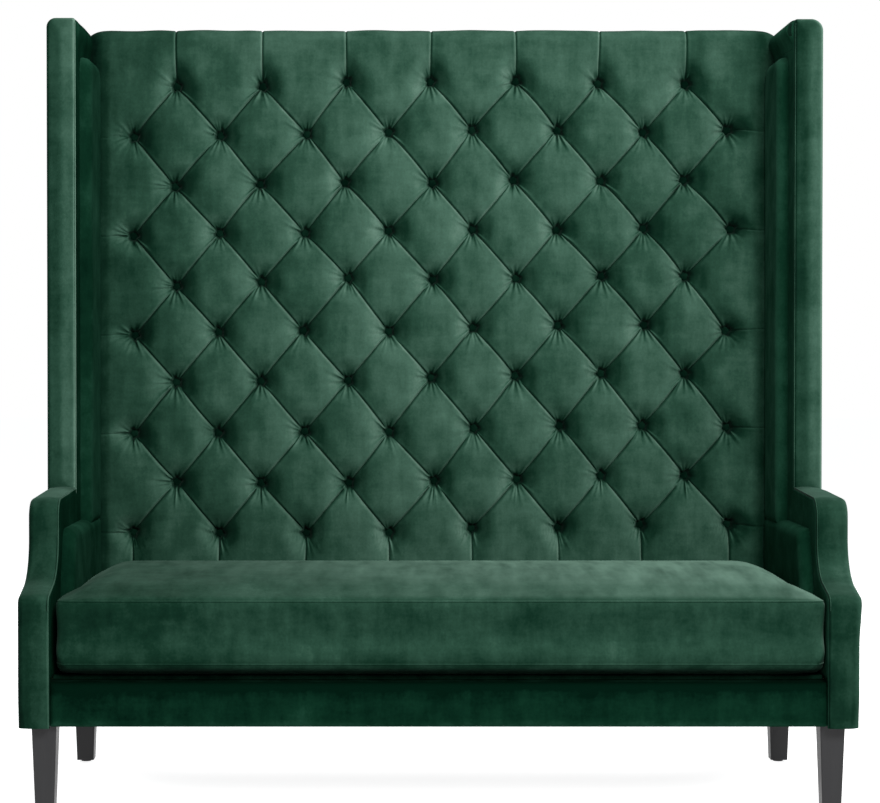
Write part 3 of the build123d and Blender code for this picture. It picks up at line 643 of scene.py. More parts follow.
def tuft_depth(points):
    """Depth below the crowns at places on the even lattice."""
    x, s = points[:, 0], points[:, 1]
    near_button = np.full(len(points), 1e9)
    nearest = np.zeros(len(points), int)
    for k, centre in enumerate(BUTTON_XZ):
        gap = np.sum((points - centre) ** 2, axis=1)
        closer = gap < near_button
        near_button[closer] = gap[closer]
        nearest[closer] = k
    near_button = np.sqrt(near_button)
    gap = points - BUTTON_XZ[nearest]
    way = np.arctan2(gap[:, 1], gap[:, 0])
    ragged = 1 + 0.17 * np.sin(5 * way + 2.4 * nearest) + 0.10 * np.sin(3 * way + 1.7 * nearest)

    # Folds run deepest amid the pillows, less deep above the top row and out to the sides
    amount = np.full(len(points), MID_FOLD)
    top_fade = smoothstep(s, BUTTON_XZ[:, 1].max() + 5, ROLL_START_Z - 8)
    amount += (TOP_FOLD - MID_FOLD) * top_fade
    amount += (SIDE_FOLD - amount) * smoothstep(np.abs(x), 650, 728)

    fullness = np.ones(len(points))
    crease = np.full(len(points), 1e9)
    upright = np.zeros(len(points), bool)
    for start, end, kind in fold_lines():
        a, b = np.array(start), np.array(end)
        along = b - a
        t = np.clip(((points - a) @ along) / (along @ along), 0, 1)
        distance = np.linalg.norm(points - a - t[:, None] * along, axis=1)
        share = np.clip(distance / (PILLOW_REACH if kind == "fold" else STRIP_REACH), 0, 1)
        strength = 1 - (0.8 * smoothstep(np.abs(x), 652, 705) if kind == "side" else 0.0)
        fullness *= 1 - strength * (1 - share) ** 2.3
        closer = distance < crease
        crease[closer] = distance[closer]
        upright[closer] = kind in ("top", "low")

    # A pit round each button, and in it the ragged well that holds the button
    pit = (PIT_DEPTH - amount) * np.exp(-(near_button / PIT_REACH) ** 1.4)
    depth = (amount + pit) * (1 - fullness)
    depth += (BUTTON_DEPTH + 0.5 - depth) * np.exp(-(near_button / (WELL_RADIUS * ragged)) ** 5)

    # The narrow groove of each fold, with a slight rise beside it
    open_fold = 1 - np.exp(-(near_button / 17.0) ** 2)
    groove = np.where(upright, 2.8, 3.8) * (1 - 0.35 * top_fade)
    groove *= 1 - 0.75 * smoothstep(np.abs(x), 656, 700)
    depth += groove * np.exp(-(crease / 1.75) ** 1.8) * open_fold
    depth -= 0.25 * np.exp(-((crease - 5.0) / 3.0) ** 2) * open_fold

    # The back falls away beside the pads and is slightly uneven all over
    flank = smoothstep(np.abs(x), 694, 724)
    depth += 4.0 * flank * (1 - smoothstep(s, ROLL_START_Z - 60, ROLL_START_Z + 10) * 0.6)
    depth += 9.0 * np.clip((np.abs(x) - 712) / (TUFT_EDGE - 712), 0, 1) ** 2
    depth += 1.0 * waves(5, 14, 70, 260)(np.stack([x, np.zeros_like(x), s], 1)) * fullness ** 0.5
    return depth


# Fans of gathers round a button: below, left, right and above it. Each has the angle of its middle,
# the step between gathers, how far they stray, their heights, their lengths, and how many a side.
PUCKER_FANS = [(-90, 15, 6, (2.0, 5.4), (16, 42), 3), (185, 14, 6, (2.0, 6.0), (16, 42), 3),
               (0, 15, 5, (0.4, 1.4), (10, 20), 2), (90, 18, 6, (0.8, 2.4), (10, 24), 3)]


def puckers(points, depth):
    """Small gathers that run out of each button, longest below and to its sides."""
    rng = np.random.default_rng(11)
    for centre in BUTTON_XZ:
        gap = points - centre
        radius = np.linalg.norm(gap, axis=1)
        near = np.nonzero(radius < PUCKER_REACH)[0]
        r = radius[near]
        angle = np.degrees(np.arctan2(gap[near, 1], gap[near, 0]))
        change = np.zeros(len(near))
        rays = [(middle + k * step + rng.uniform(-stray, stray), rng.uniform(*heights),
                 rng.uniform(*lengths))
                for middle, step, stray, heights, lengths, most in PUCKER_FANS
                for k in range(-most, most + 1)]
        for way, height, length in rays:
            off = np.radians((angle - way + 180) % 360 - 180)
            aside = r * np.sin(np.clip(off, -1.5, 1.5))
            width = 1.15 + 0.042 * r
            swell = np.exp(-(aside / width) ** 2) * (np.abs(off) < 1.2)
            reach = smoothstep(r, 6, 13) * np.exp(-(np.maximum(r - 12, 0) / length) ** 2 * 2.2)
            change += height * swell * reach
        depth[near] -= change
        depth[near] += 1.2 * smoothstep(r, 8, 15) * np.exp(-(r / 26) ** 2)
    return depth


def onto_back(points, depth):
    """Cloth places and depths to the row frame: up the back, over the roll and to the rear."""
    x, s = points[:, 0], points[:, 1]
    result = np.zeros((len(points), 3))
    result[:, 0] = x
    front = s <= ROLL_START_Z
    result[front, 1] = crown_y(s[front]) + depth[front]
    result[front, 2] = s[front]
    centre_y = crown_y(ROLL_START_Z) + ROLL_RADIUS
    roll = (~front) & (s <= ROLL_START_Z + ROLL_LENGTH)
    turn = (s[roll] - ROLL_START_Z) / ROLL_RADIUS
    reach = ROLL_RADIUS - depth[roll]
    result[roll, 1] = centre_y - reach * np.cos(turn)
    result[roll, 2] = ROLL_START_Z + reach * np.sin(turn)
    flat = s > ROLL_START_Z + ROLL_LENGTH
    result[flat, 1] = centre_y + s[flat] - ROLL_START_Z - ROLL_LENGTH
    result[flat, 2] = TOP_Z - depth[flat]
    lift = smoothstep(s, ROLL_START_Z - 90, ROLL_START_Z + 30) * (1 - smoothstep(result[:, 1], 300, 362))
    result[:, 2] += BACK_LIFT * lift
    return result


def fold_steps(count):
    """Shares from one fold to the next, closer together near both."""
    t = np.linspace(0, 1, count + 1)
    return t - 0.66 * np.sin(2 * math.pi * t) / (2 * math.pi)


def strip_steps(count):
    """Shares from a button outwards, closer together near it."""
    t = np.linspace(0, 1, count + 1)
    return 0.35 * t + 0.65 * t ** 1.7


class Sheet:
    """Patches of one cloth, laid out flat."""

    def __init__(self):
        self.points = []
        self.faces = []
        self.count = 0

    def patch(self, a, b, c, d, across, up):
        """A patch with corners a, b, c, d in turn; across runs a to b and up runs a to d."""
        a, b, c, d = (np.array(p, float) for p in (a, b, c, d))
        grid = between_four(across[None, :, None], up[:, None, None], a, b, c, d)
        rows, columns = grid.shape[:2]
        index = np.arange(rows * columns).reshape(rows, columns) + self.count
        quads = np.stack([index[:-1, :-1], index[:-1, 1:], index[1:, 1:], index[1:, :-1]], -1)
        self.points.append(grid.reshape(-1, 2))
        self.faces.append(quads.reshape(-1, 4))
        self.count += rows * columns


def tufting_sheet(fine):
    """The back's cloth: a patch for each pillow, so that every fold is an edge of the mesh."""
    sheet = Sheet()
    along, out, over = fold_steps(fine), strip_steps(fine * 3 // 4), np.linspace(0, 1, 15)
    top, edge = ROWS - 1, HALF_COLUMNS
    roll_end = ROLL_START_Z + ROLL_LENGTH

    def strip(a, b, height, across):
        """The cloth from places a and b straight up or down to a height."""
        sheet.patch(a, b, (b[0], height), (a[0], height), across, out)

    def over_roll(x0, x1, across):
        for low, high in ((ROLL_START_Z, roll_end), (roll_end, SHEET_END)):
            sheet.patch((x0, low), (x1, low), (x1, high), (x0, high), across, over)

    for r in range(1, top):
        for c in range(1 - edge, edge):
            if not is_button(c, r):
                sheet.patch(lattice(c, r - 1), lattice(c + 1, r), lattice(c, r + 1), lattice(c - 1, r),
                            along, along)
    for c in range(-edge, edge + 1):
        for side in (-1, 1):
            if is_button(c, top) and is_button(c + side, top - 1):
                a, b = lattice(c, top), lattice(c + side, top - 1)
                strip(a, b, ROLL_START_Z, along)
                over_roll(a[0], b[0], along)
            if is_button(c, 0) and is_button(c + side, 1):
                strip(lattice(c, 0), lattice(c + side, 1), SEAT_Z, along)
    for side in (-1, 1):
        rim = side * TUFT_EDGE
        for r in (r for r in range(ROWS) if is_button(edge, r)):
            a = lattice(side * edge, r)
            for other in (r - 1, r + 1):
                if 0 < other < top:
                    b = lattice(side * (edge - 1), other)
                    sheet.patch(a, b, (rim, b[1]), (rim, a[1]), along, out)
        for row, height in ((0, SEAT_Z), (top - 1, ROLL_START_Z)):
            a = lattice(side * edge, row)
            strip(a, (rim, a[1]), height, out)
        over_roll(a[0], rim, out)
    return np.concatenate(sheet.points), np.concatenate(sheet.faces)


def make_tufting():
    """The whole stuffed back as one closed form."""
    points, faces = tufting_sheet(46)
    depth = puckers(points, tuft_depth(points))
    placed = onto_back(drift(points), depth)
    low = smoothstep(-points[:, 1], -SEAT_Z - 40, -SEAT_Z)
    placed[:, 1] += 6.0 * low ** 2
    back = make_object("back_tufting_velvet", placed, faces.tolist(), velvet_back, 80.0, weld=0.01)

    bm = bmesh.new()
    bm.from_mesh(back.data)
    made = bmesh.ops.extrude_edge_only(bm, edges=[e for e in bm.edges if e.is_boundary])
    for v in (g for g in made["geom"] if isinstance(g, bmesh.types.BMVert)):
        if v.co.y > (FRAME_REAR_Y - 1) * MM:
            v.co.z = RAIL_TOP_Z * MM
            continue
        v.co.y = max(v.co.y, BACK_BOARD_Y * MM) if v.co.z > RAIL_TOP_Z * MM else BACK_BOARD_Y * MM
        v.co.z = min(v.co.z, RAIL_TOP_Z * MM)
    bmesh.ops.remove_doubles(bm, verts=bm.verts, dist=1e-5)
    bmesh.ops.holes_fill(bm, edges=[e for e in bm.edges if e.is_boundary], sides=0)
    bm.to_mesh(back.data)
    bm.free()
    outward(back, 80.0)
    mount(back, "back_tufting", fill=0.75)


def make_buttons():
    """Seventy-five velvet-covered buttons, each gathered a little at its rim, in velvet painted near
    black as the shade of their pits.
    """
    rng = np.random.default_rng(3)
    sides = 28
    profile = [(2.7, 3.5), (5.1, 3.2), (7.0, 2.7), (8.3, 2.0), (9.2, 1.3), (9.6, 0.7), (9.0, 0.0)]
    crown_height = 3.6
    points, faces = [], []
    for (x, z), even in zip(drift(BUTTON_XZ), BUTTON_XZ):
        lean_x, lean_z = rng.uniform(-0.09, 0.09, 2)
        seat = crown_y(even[1]) + BUTTON_DEPTH - 3.0
        top = len(points)
        points.append((x, seat - crown_height, z))
        for radius, height in profile:
            for k, (c, s) in enumerate(circle(sides)):
                gather = math.sin(7 * 2 * math.pi * k / sides) * smoothstep(np.float64(radius), 5, 10)
                px, pz = (radius + 0.35 * gather) * c, (radius + 0.35 * gather) * s
                points.append((x + px, seat - height + lean_x * px + lean_z * pz, z + pz))
        faces += [[top, top + 1 + k, top + 1 + (k + 1) % sides] for k in range(sides)]
        faces += ring_faces(len(profile), sides, top + 1, caps=(-1,))
    buttons = make_object("covered_buttons", points, faces, velvet_button, 60.0)
    mount(buttons, "back_buttons")


def make_ties():
    """The twine behind each button and the washer that holds it behind the board."""
    points, faces = [], []
    sides = 10
    thread, washer, back = 1.2, 8.0, POST_FRONT_Y + 0.1
    for (x, z), (hole_x, hole_z) in zip(drift(BUTTON_XZ), BUTTON_XZ):
        front = crown_y(hole_z) + BUTTON_DEPTH - 2.0
        rings = [(x, z, front, thread), (hole_x, hole_z, BACK_BOARD_Y, thread),
                 (hole_x, hole_z, back, thread), (hole_x, hole_z, back, washer),
                 (hole_x, hole_z, back + 1.4, washer)]
        faces += ring_faces(len(rings), sides, len(points))
        points += [(cx + radius * c, y, cz + radius * s) for cx, cz, y, radius in rings
                   for c, s in circle(sides)]
    ties = make_object("button_twine_and_washers", points, faces, twine)
    mount(ties, "button_ties", slot="tie_cord")


# ---- sides
def arm_top_z(y, inset=0.0):
    return ARM_TOP + (y - WING_FRONT_Y) * math.tan(ARM_SLOPE) - inset / math.cos(ARM_SLOPE)


def arm_line(inset, low_z, end_y):
    """The arm's front outline in Y and Z, from its foot over shoulder and scoop to end_y."""
    shoulder = arc((-348, 408.66), 22 - inset, 180, 105, 8)
    scoop = arc((-319, 527.20), 85 + inset, -75, 0, 16)
    top = arc((-194, arm_top_z(-194) - 40.0), 40 - inset, 180, 92.2, 14)
    foot = (FRONT_Y + inset, low_z)
    end = (end_y, arm_top_z(end_y, inset))
    runs = [straight(foot, shoulder[0], 24), shoulder, straight(shoulder[-1], scoop[0], 4), scoop,
            straight(scoop[-1], top[0], 3), top, straight(top[-1], end, 18)]
    points = [runs[0][0]]
    for run in runs:
        points += run[1:]
    return points


def line_returns(facing):
    """The part of a facing that turns in beside the seat takes the inside lining's velvet, painted
    darker as shade.
    """
    mesh = facing.data
    mesh.materials.append(velvet_lining)
    for face in mesh.polygons:
        if abs(face.center.x) < (SIDE_INNER_X + 1.2) * MM and abs(face.normal.x) > 0.75:
            face.material_index = 1


def tuck_foot(points):
    """Draw the covers in a little where they turn under the body."""
    low = np.clip((240.0 - points[:, 2]) / 65.0, 0, 1) ** 2
    outer = smoothstep(np.abs(points[:, 0]), 770, 800)
    fore = 1 - smoothstep(points[:, 1], -367, -357)
    points[:, 0] -= np.sign(points[:, 0]) * (0.6 + 6.4 * fore) * low * outer
    high = smoothstep(points[:, 2], 330, 420) * (1 - smoothstep(points[:, 2], 625, 640))
    ahead = 1 - smoothstep(points[:, 1], WING_FRONT_Y - 60, WING_FRONT_Y - 6)
    points[:, 0] += 4.5 * high * outer * ahead * (points[:, 0] > 0)
    return points


def make_arm_facing(name, side):
    """The padded band carried round the arm's front outline."""
    inner, outer = SIDE_INNER_X, HALF_WIDTH
    round_in, round_out, deep_out = 6.0, 14.0, 9.5
    crowned = outer - inner - round_in - round_out
    section = [(inner, FACING)]
    section += [(inner + round_in * (1 - math.cos(a)), 1.2 + round_in * (1 - math.sin(a)))
                for a in np.radians(np.linspace(0, 90, 7))]
    section += [(x, 1.2 - 1.9 * math.sin(math.pi * (x - inner - round_in) / crowned) ** 0.8)
                for x in np.linspace(inner + round_in + 4, outer - round_out - 4, 7)]
    section += [(outer - round_out * (1 - math.sin(a)), 1.2 + (deep_out - 1.2) * (1 - math.cos(a)))
                for a in np.radians(np.linspace(0, 90, 9))]
    section += [(outer, FACING)]
    lines = [arm_line(n, BODY_Z, WING_FRONT_Y - 1.2) for _, n in section]
    points = np.array([(side * x, *place) for places in zip(*lines)
                       for (x, _), place in zip(section, places)])
    middle = np.abs(np.abs(points[:, 0]) - 770.0) < 26.0
    points[middle, 1] += 0.5 * waves(21, 8, 60, 240)(points[middle])
    faces = ring_faces(len(lines[0]), len(section))
    facing = make_object(name, tuck_foot(points), faces, velvet_arm, 60.0)
    line_returns(facing)
    welt = [(side * (inner + 2.6), y, z) for y, z in arm_line(1.6, BODY_Z + 2, WING_FRONT_Y - 3.0)
            if z > 396 or y > FRONT_Y + 30]
    return joined(name, [facing, tube(name + "_welt", welt, 1.5, velvet_arm)])


def tombstone(x0, x1, low_z, high_z, radii, side=1, steps=9):
    """A front outline with its two upper corners rounded."""
    left, right = radii
    shape = chained([(x0, low_z)], arc((x0 + left, high_z - left), left, 180, 90, steps),
                    arc((x1 - right, high_z - right), right, 90, 0, steps), [(x1, low_z)])
    return [(side * x, z) for x, z in shape]


def make_wing_facing(name, side):
    """The strip up the wing's front and the roll over its top."""
    front_z, roll_low, top_z = 600.4, 1520.0, TOP_Z - 2.5 * (side > 0)
    radii = (7.0, 24.0 if side > 0 else 19.0)
    shape = tombstone(SIDE_INNER_X, HALF_WIDTH, front_z, top_z, radii, side)
    strip = slab(name, shape, plane(1, WING_FRONT_Y + 14.0, -1), 14.0, 6.5, velvet_facing,
                 crown=3.4, reach=34.0, grid=6.0, step=6.0, seed=31)
    roll = resampled(tombstone(SIDE_INNER_X, HALF_WIDTH, roll_low, top_z, radii, side), 3.0)
    stations = np.linspace(WING_FRONT_Y + 8.0, FRAME_REAR_Y, 60)
    points = [(x, y, z) for y in stations for x, z in roll]
    faces = ring_faces(len(stations), len(roll))
    points = np.array(points)
    high = smoothstep(points[:, 2], 1562, 1578)
    points[:, 2] += high * 0.7 * waves(33, 8, 60, 200)(points)
    inward = 1 - smoothstep(np.abs(points[:, 0]), SIDE_INNER_X + 2, SIDE_INNER_X + 16)
    swell = np.exp(-((points[:, 2] - 1556.0) / 20.0) ** 2)
    swell *= smoothstep(points[:, 1], WING_FRONT_Y + 8, WING_FRONT_Y + 24)
    points[:, 0] -= side * (14.0 if side > 0 else 5.0) * inward * swell
    cap = make_object(name + "_roll", points, faces, velvet_facing, 60.0)
    line_returns(strip)
    line_returns(cap)
    welt = [(side * (SIDE_INNER_X + 2.0), WING_FRONT_Y + 2.9, z)
            for z in np.linspace(front_z, top_z - 9.0, 60)]
    return joined(name, [strip, cap, tube(name + "_welt", welt, 2.0, velvet_facing)])


def side_skin(low_z, end_y, inset):
    """The outline of a side's flat cover, in Y and Z."""
    top = TOP_Z - 20.3
    line = arm_line(inset, low_z, WING_FRONT_Y + inset)
    return line + [(WING_FRONT_Y + inset, top), (end_y, top), (end_y, low_z)]


def rear_of_pad(z):
    return crown_y(z) + 7.5


def bent(points, radii, steps=8):
    """A polygon with rounded corners."""
    result = []
    count = len(points)
    for k in range(count):
        p = np.array(points[k], float)
        a, b = np.array(points[k - 1], float) - p, np.array(points[(k + 1) % count], float) - p
        la, lb = np.linalg.norm(a), np.linalg.norm(b)
        a, b = a / la, b / lb
        angle = math.acos(np.clip(a @ b, -1, 1))
        reach = radii[k] / math.tan(angle / 2)
        centre = p + (a + b) / np.linalg.norm(a + b) * radii[k] / math.sin(angle / 2)
        start, end = p + a * reach - centre, p + b * reach - centre
        turn = math.atan2(start[0] * end[1] - start[1] * end[0], start @ end)
        for s in range(steps + 1):
            c, d = math.cos(turn * s / steps), math.sin(turn * s / steps)
            result.append((centre[0] + start[0] * c - start[1] * d,
                           centre[1] + start[0] * d + start[1] * c))
    return result


def make_side(word, side):
    """Everything upholstered on one side."""
    facing = make_arm_facing("arm_facing_velvet_" + word, side)
    mount(facing, "arm_facing_" + word, fill=0.8)
    facing = make_wing_facing("wing_facing_velvet_" + word, side)
    mount(facing, "wing_facing_" + word, fill=0.8)

    cover = slab("outside_cover_velvet_" + word, side_skin(BODY_Z, FRAME_REAR_Y - 0.3, 11.0),
                 plane(0, side * BOARD_OUTER_X, side), 4.0, 3.0, velvet_body, crown=1.6,
                 reach=90.0, grid=16.0, wobble=0.7, seed=41, tuck=tuck_foot)
    mount(cover, "outside_cover_" + word)

    # Lining, turn-in and pads take the velvet copies painted darker as shade inside the side.
    inwards = plane(0, side * BOARD_INNER_X, -side)
    lining = slab("lining", side_skin(SEAT_Z, BACK_BOARD_Y - 0.3, 11.5), inwards, 4.0, 1.2,
                  velvet_lining, grid=18.0, step=9.0, wobble=0.25, seed=43)
    front, rear, low, high = -359.5, -300.0, BODY_Z + 0.5, 270.0
    turn_in = slab("turn_in", [(front, low), (rear, low), (rear, high), (front, high)], inwards,
                   0.55, 0.2, velvet_lining, grid=10.0, step=5.0, wobble=0.0)
    lining = joined("inside_lining_velvet_" + word, [lining, turn_in])
    mount(lining, "inside_lining_" + word)

    inwards = plane(0, side * SIDE_INNER_X, -side)
    pads = {"reach": 45.0, "grid": 12.0, "step": 7.0, "wobble": 0.6}
    front, low, high = 78.0, ARM_PAD_TOP - 16.0, 1510.0
    shape = bent([(front, low), (front, high), (rear_of_pad(high), high), (rear_of_pad(low), low)],
                 [9, 30, 45, 9])
    pad = slab("wing_pad_velvet_" + word, shape, inwards, 24.0, 20.0, velvet_inner, crown=0.8,
               seed=47, **pads)
    mount(pad, "wing_pad_" + word, fill=0.75)

    front, bend_z, high = -215.0, 425.0, ARM_PAD_TOP
    shape = bent([(front, SEAT_Z), (front, bend_z), (front + 37, high), (rear_of_pad(high), high),
                  (rear_of_pad(SEAT_Z), SEAT_Z)], [10, 120, 30, 10, 10])
    pad = slab("arm_pad_velvet_" + word, shape, inwards, 25.0, 20.0, velvet_pad, crown=1.5,
               seed=53, **pads)
    mount(pad, "arm_pad_" + word, fill=0.75)


# ---- back, border, deck and underside
def make_outside_back():
    shape = tombstone(-HALF_WIDTH, HALF_WIDTH, BODY_Z, TOP_Z, (17, 17), steps=8)
    panel = slab("outside_back_velvet", shape, plane(1, FRAME_REAR_Y, 1), 6.0, 5.0, velvet_body,
                 crown=1.5, reach=120.0, grid=20.0, step=10.0, wobble=0.8, seed=61, tuck=tuck_foot)
    mount(panel, "outside_back")


def rectangle(half, low, high, radii, steps=2):
    return bent([(-half, low), (half, low), (half, high), (-half, high)], radii, steps)


def make_front_border():
    shape = rectangle(SEAT_HALF + 0.3, BODY_Z, 260.0, [6, 6, 1.5, 1.5], 4)
    border = slab("front_border_velvet", shape, plane(1, -340.3, -1), 17.7, 15.0, velvet_border,
                  crown=1.5, reach=26.0, grid=9.0, step=7.0, wobble=0.9, seed=67)
    mount(border, "front_border", fill=0.8)


def make_deck():
    """Platform cloth, with a velvet lip where the cushion ends. Lip and apron are near-black velvet,
    painted shade in the gap under the cushion's front, and the seam takes the border's darker velvet.
    """
    lip_y, recess, deck_z, apron_z = -262.0, -302.0, 261.0, 258.8
    cloth = slab("cloth", rectangle(SEAT_HALF, lip_y, 304.0, [2, 2, 2, 2]), plane(2, deck_z, 1),
                 7.4, 2.0, deck_cloth, grid=22.0, step=14.0, wobble=0.3, seed=71)
    lip = slab("lip", rectangle(SEAT_HALF, recess, lip_y, [4, 4, 2, 2], 3), plane(2, deck_z, 1),
               8.0, 3.0, velvet_gap, step=10.0, wobble=0.3, seed=73)
    apron = slab("apron", rectangle(SEAT_HALF, -340.0, recess + 4, [2, 2, 2, 2]),
                 plane(2, apron_z, 1), 1.2, 0.5, velvet_gap, step=10.0, wobble=0.0)
    seam = tube("seam", [(x, lip_y, 268.2) for x in np.linspace(-742, 742, 120)], 1.4, velvet_border)
    deck = joined("seat_deck_cloth", [cloth, lip, apron, seam])
    mount(deck, "seat_deck", slot="deck_cloth")


def make_webbing():
    """Nine long straps, with four cross straps laid over them."""
    half, low, high = 30.0, 257.1, 258.7
    steps = 60

    def strap(middle, start, end, cross, lift):
        section = [(-half, low), (-half, high), (half, high), (half, low)]
        points = [(along, middle + aside, z + lift) if cross else (middle + aside, along, z + lift)
                  for along in np.linspace(start, end, steps + 1) for aside, z in section]
        return make_object("strap", points, ring_faces(steps + 1, 4), webbing_cloth)

    outermost = SEAT_HALF - 45 - half
    front, rear, rows = -315.0, 314.0, 4
    parts = [strap(x, -340, 363, False, 0.0) for x in np.linspace(-outermost, outermost, 9)]
    parts += [strap(front + (k + 0.5) * (rear - front) / rows, -743, 743, True, 2.0)
              for k in range(rows)]
    mount(joined("seat_webbing_straps", parts), "seat_webbing", slot="webbing")


def make_dust_cover():
    """Thin black cloth tacked under the frame, cut out round the legs."""
    leg_x, leg_ys, cut = 756.0, (-304.0, 280.0), 34.0
    edge_x, front, rear = 792.0, -338.5, 362.5
    right = [(edge_x, front)]
    for y in leg_ys:
        right += [(edge_x, y - cut), (leg_x - cut, y - cut), (leg_x - cut, y + cut), (edge_x, y + cut)]
    right += [(edge_x, rear)]
    outline = [(-x, y) for x, y in right] + right[::-1]
    cover = slab("dust_cover_cloth", outline, plane(2, 177.9, -1), 0.8, 0.3, dust_cloth,
                 grid=26.0, step=14.0, wobble=0.0)
    mount(cover, "dust_cover", slot="dust_cloth")


# ---- seat cushion
CUSHION = {"wide": 736.0, "waist": 713.0, "front": -356.0, "notch": -219.0, "rear": 222.0,
           "low": 269.3, "foot_seam": 290.0, "seam": 416.0, "crown": 40.0}


def cushion_outline(inset):
    c = CUSHION
    wide, waist = c["wide"] - inset, c["waist"] - inset
    front, rear, notch = c["front"] + inset, c["rear"] - inset, c["notch"] - inset
    points = [(-wide, front), (wide, front), (wide, notch), (waist, notch), (waist, rear),
              (-waist, rear), (-waist, notch), (-wide, notch)]
    return bent(points, [11, 11, 5, 5, 14, 14, 5, 5], 6)


def cushion_shape(points):
    """Crown the top, tuck the foot under its seam and let the lower front bulge a little."""
    c = CUSHION
    x, y, z = points[:, 0].copy(), points[:, 1].copy(), points[:, 2].copy()
    share = np.clip((z - c["low"]) / (c["seam"] - c["low"]), 0, 1)
    depth = np.clip((y - c["front"]) / (c["rear"] - c["front"]), 0, 1)
    back_part = smoothstep(y, c["notch"] - 50, c["notch"] + 30)
    limit = c["wide"] + (c["waist"] + 4 - c["wide"]) * back_part
    end = np.clip((limit - np.abs(x)) / (150.0 - 55.0 * back_part), 0, 1)
    fullness = (4 * depth * (1 - depth)) ** 0.6 * (1 - (1 - end) ** 2.3) ** 0.9
    points[:, 2] += c["crown"] * fullness * smoothstep(share, 0.93, 1.0)
    front = 1 - smoothstep(y, c["front"] + 4, c["front"] + 30)
    lifted = (1 - smoothstep(y, c["front"] + 14, c["front"] + 75)) * (1 - smoothstep(z, 290, 350))
    points[:, 2] += 12.5 * lifted
    foot = np.clip((c["foot_seam"] - z) / (c["foot_seam"] - c["low"]), 0, 1) ** 2
    belly = np.exp(-((points[:, 2] - 312.0) / 26.0) ** 2)
    points[:, 1] += front * (9.0 * foot - 4.5 * belly)
    corner = smoothstep(np.abs(x), c["wide"] - 60, c["wide"]) * front
    round_foot = np.clip((325.0 - z) / (325.0 - c["low"]), 0, 1) ** 3
    points[:, 0] -= np.sign(x) * 22.0 * round_foot * corner
    rearward = smoothstep(points[:, 1], -290.0, -170.0)
    points[:, 0] += 3.5 * (1 - rearward) - 0.5 * np.sign(points[:, 0]) * rearward
    return points


def seam_distance(points):
    """Distance from the cushion's two long seams."""
    c = CUSHION
    aside = edge_distance(points[:, :2], np.array(resampled(cushion_outline(1.5), 40.0)))
    up = np.minimum(np.abs(points[:, 2] - c["seam"]), np.abs(points[:, 2] - c["foot_seam"]))
    return np.hypot(aside, up)


def seam_ridge(cushion, height, radius):
    """A ridge round the cushion where its panels are sewn together."""
    tree = BVHTree.FromObject(cushion, bpy.context.evaluated_depsgraph_get())
    line = []
    outline = np.array(resampled(cushion_outline(0.0), 7.0))
    for (x, y), along in zip(outline, np.roll(outline, -1, axis=0) - np.roll(outline, 1, axis=0)):
        inward = Vector((-along[1], along[0], 0.0)).normalized()
        start = Vector((x * MM, y * MM, height * MM)) - inward * 0.03
        hit = tree.ray_cast(start, inward, 0.08)[0]
        if hit is not None:
            line.append(tuple((hit + inward * 0.0007) / MM))
    return tube("ridge", line, radius, velvet_seat, closed=True)


def make_cushion():
    """The loose box cushion, puffed by a cloth simulation between its seams."""
    c = CUSHION
    outline = resampled(cushion_outline(1.5), 10.0)
    count = len(outline)
    points = [(x, y, z) for z in (c["low"] + 0.6, c["seam"]) for x, y in outline]
    cushion = make_object("cushion", points, ring_faces(2, count), velvet_seat)
    bpy.context.view_layer.objects.active = cushion
    remesh = cushion.modifiers.new("remesh", "REMESH")
    remesh.mode = "VOXEL"
    remesh.voxel_size = 0.007
    bpy.ops.object.modifier_apply(modifier="remesh")
    flat = vertex_places(cushion.data)
    away = smoothstep(seam_distance(flat), 4, 60)
    rest = cushion_shape(flat)
    set_vertices(cushion.data, rest)
    puff(cushion, rest, 6.0, away)
    sub = cushion.modifiers.new("soft", "SUBSURF")
    sub.levels = sub.render_levels = 1
    bpy.ops.object.modifier_apply(modifier="soft")
    outward(cushion, 80.0)
    cushion = joined("seat_cushion_velvet", [cushion, seam_ridge(cushion, c["seam"] - 1.0, 2.0),
                                             seam_ridge(cushion, c["foot_seam"] + 6.0, 1.8)])
    mount(cushion, "seat_cushion_cover", "seat_cushion_foam", body="cushion", fill=0.85)


def vertex_places(mesh):
    co = np.zeros(len(mesh.vertices) * 3)
    mesh.vertices.foreach_get("co", co)
    return co.reshape(-1, 3) / MM


def set_vertices(mesh, places):
    mesh.vertices.foreach_set("co", (places * MM).ravel())
    mesh.update()


def puff(obj, rest, cap, share):
    """Swell a closed cover with a cloth simulation, cap how far any point moves, and hold the seams."""
    cloth = obj.modifiers.new("cloth", "CLOTH")
    settings = cloth.settings
    settings.use_pressure = True
    settings.uniform_pressure_force = 4.0
    settings.effector_weights.gravity = 0
    settings.mass = 0.25
    settings.quality = 5
    settings.tension_stiffness = settings.compression_stiffness = 22
    settings.shear_stiffness = 9
    settings.bending_stiffness = 0.8
    cloth.collision_settings.use_collision = False
    for number in range(1, 21):
        scene.frame_set(number)
    moved = vertex_places(obj.evaluated_get(bpy.context.evaluated_depsgraph_get()).data) - rest
    obj.modifiers.remove(cloth)
    scene.frame_set(1)
    far = np.linalg.norm(moved, axis=1)
    moved *= (share * cap * np.tanh(far / cap) / np.maximum(far, 1e-6))[:, None]
    placed = rest + moved
    placed[:, 2] = np.maximum(placed[:, 2], CUSHION["low"] + 0.1)
    set_vertices(obj.data, placed)


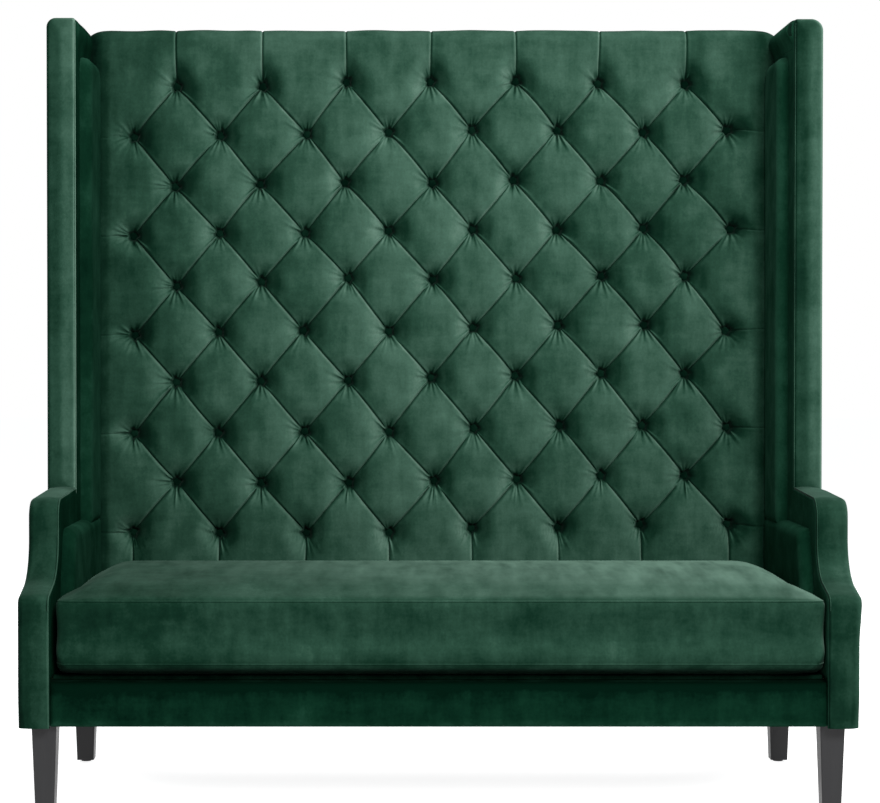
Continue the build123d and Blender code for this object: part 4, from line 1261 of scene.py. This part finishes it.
# ---- stage, lights and camera
def make_stage():
    """A floor and a room that look white but light the object plainly."""
    bpy.ops.mesh.primitive_plane_add(size=60.0, location=(0, 0, 0))
    floor = bpy.context.object
    floor.name = "studio_floor"
    g = material_graph("studio_floor")
    g.set(Base_Color=(0.72, 0.72, 0.72, 1.0), Roughness=0.9, Specular_IOR_Level=0.0)
    glow = g.node("ShaderNodeEmission", {"Color": (1, 1, 1, 1), "Strength": 0.86})
    both = g.node("ShaderNodeAddShader", {0: g.shader.outputs[0], 1: glow.outputs[0]})
    g.show(g.shader.outputs[0], both.outputs[0], "Material Output")
    floor.data.materials.append(g.owner)

    scene.world = bpy.data.worlds.new("studio")
    g = Graph(scene.world, "Background")
    g.set(Color=(0.92, 0.96, 1.0, 1.0), Strength=0.20)
    white = g.node("ShaderNodeBackground", {"Color": (1, 1, 1, 1), "Strength": 1.0})
    g.show(g.shader.outputs[0], white.outputs[0], "World Output")


def area_light(name, place, target, size, watts, colour=(1, 1, 1)):
    data = bpy.data.lights.new(name, "AREA")
    data.shape = "RECTANGLE"
    data.size, data.size_y = size
    data.energy = watts
    data.color = colour
    lamp = bpy.data.objects.new(name, data)
    lamp.location = place
    lamp.rotation_mode = "QUATERNION"
    lamp.rotation_quaternion = (Vector(target) - Vector(place)).to_track_quat("-Z", "Y")
    scene.collection.objects.link(lamp)


def make_lights():
    area_light("key", (0.9, -5.0, 2.9), (0, 0, 0.9), (1.8, 1.4), 225)
    area_light("top", (0.9, -1.0, 3.9), (0.1, 0, 0.6), (1.6, 1.2), 34)
    for side in SIDES.values():
        area_light("rear", (side * 3.4, 2.9, 2.3), (side * 0.3, 0.1, 0.8), (2.0, 1.8), 120)


def make_camera():
    """The photograph's viewpoint, worked out from the widths of arms, wings and legs."""
    place, pitch = (-0.0959, -4.640, 0.8736), -0.0180
    data = bpy.data.cameras.new("photo_view")
    data.sensor_width = 36.0
    data.lens = 92.3
    data.shift_x = 0.0588
    data.clip_start, data.clip_end = 0.1, 100
    camera = bpy.data.objects.new("photo_view", data)
    forward = Vector((0.0, math.cos(pitch), math.sin(pitch)))
    turned = forward.to_track_quat("-Z", "Y").to_matrix().to_4x4()
    camera.matrix_world = Matrix.Translation(place) @ turned
    scene.collection.objects.link(camera)
    scene.camera = camera


# ---- carried-over CAD nodes
def dress_cad_nodes():
    """Materials for the CAD nodes that stay, by how their names start."""
    looks = {satin_black: ("leg_front", "leg_rear"), glide_plastic: ("leg_glides",),
             steel: ("leg_plates", "leg_bolts"),
             frame_timber: ("frame_", "corner_", "back_post", "back_top", "back_middle",
                            "back_lower", "side_battens"),
             plywood: ("back_board", "arm_board", "wing_board")}
    for name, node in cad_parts.items():
        for material, starts in looks.items():
            if name.startswith(starts):
                node.data.materials.clear()
                node.data.materials.append(material)


make_camera()
make_lights()
make_stage()
dress_cad_nodes()
make_tufting()
make_buttons()
make_ties()
for side_word, way in SIDES.items():
    make_side(side_word, way)
make_outside_back()
make_front_border()
make_deck()
make_webbing()
make_dust_cover()
make_cushion()

scene.view_settings.view_transform = "Standard"
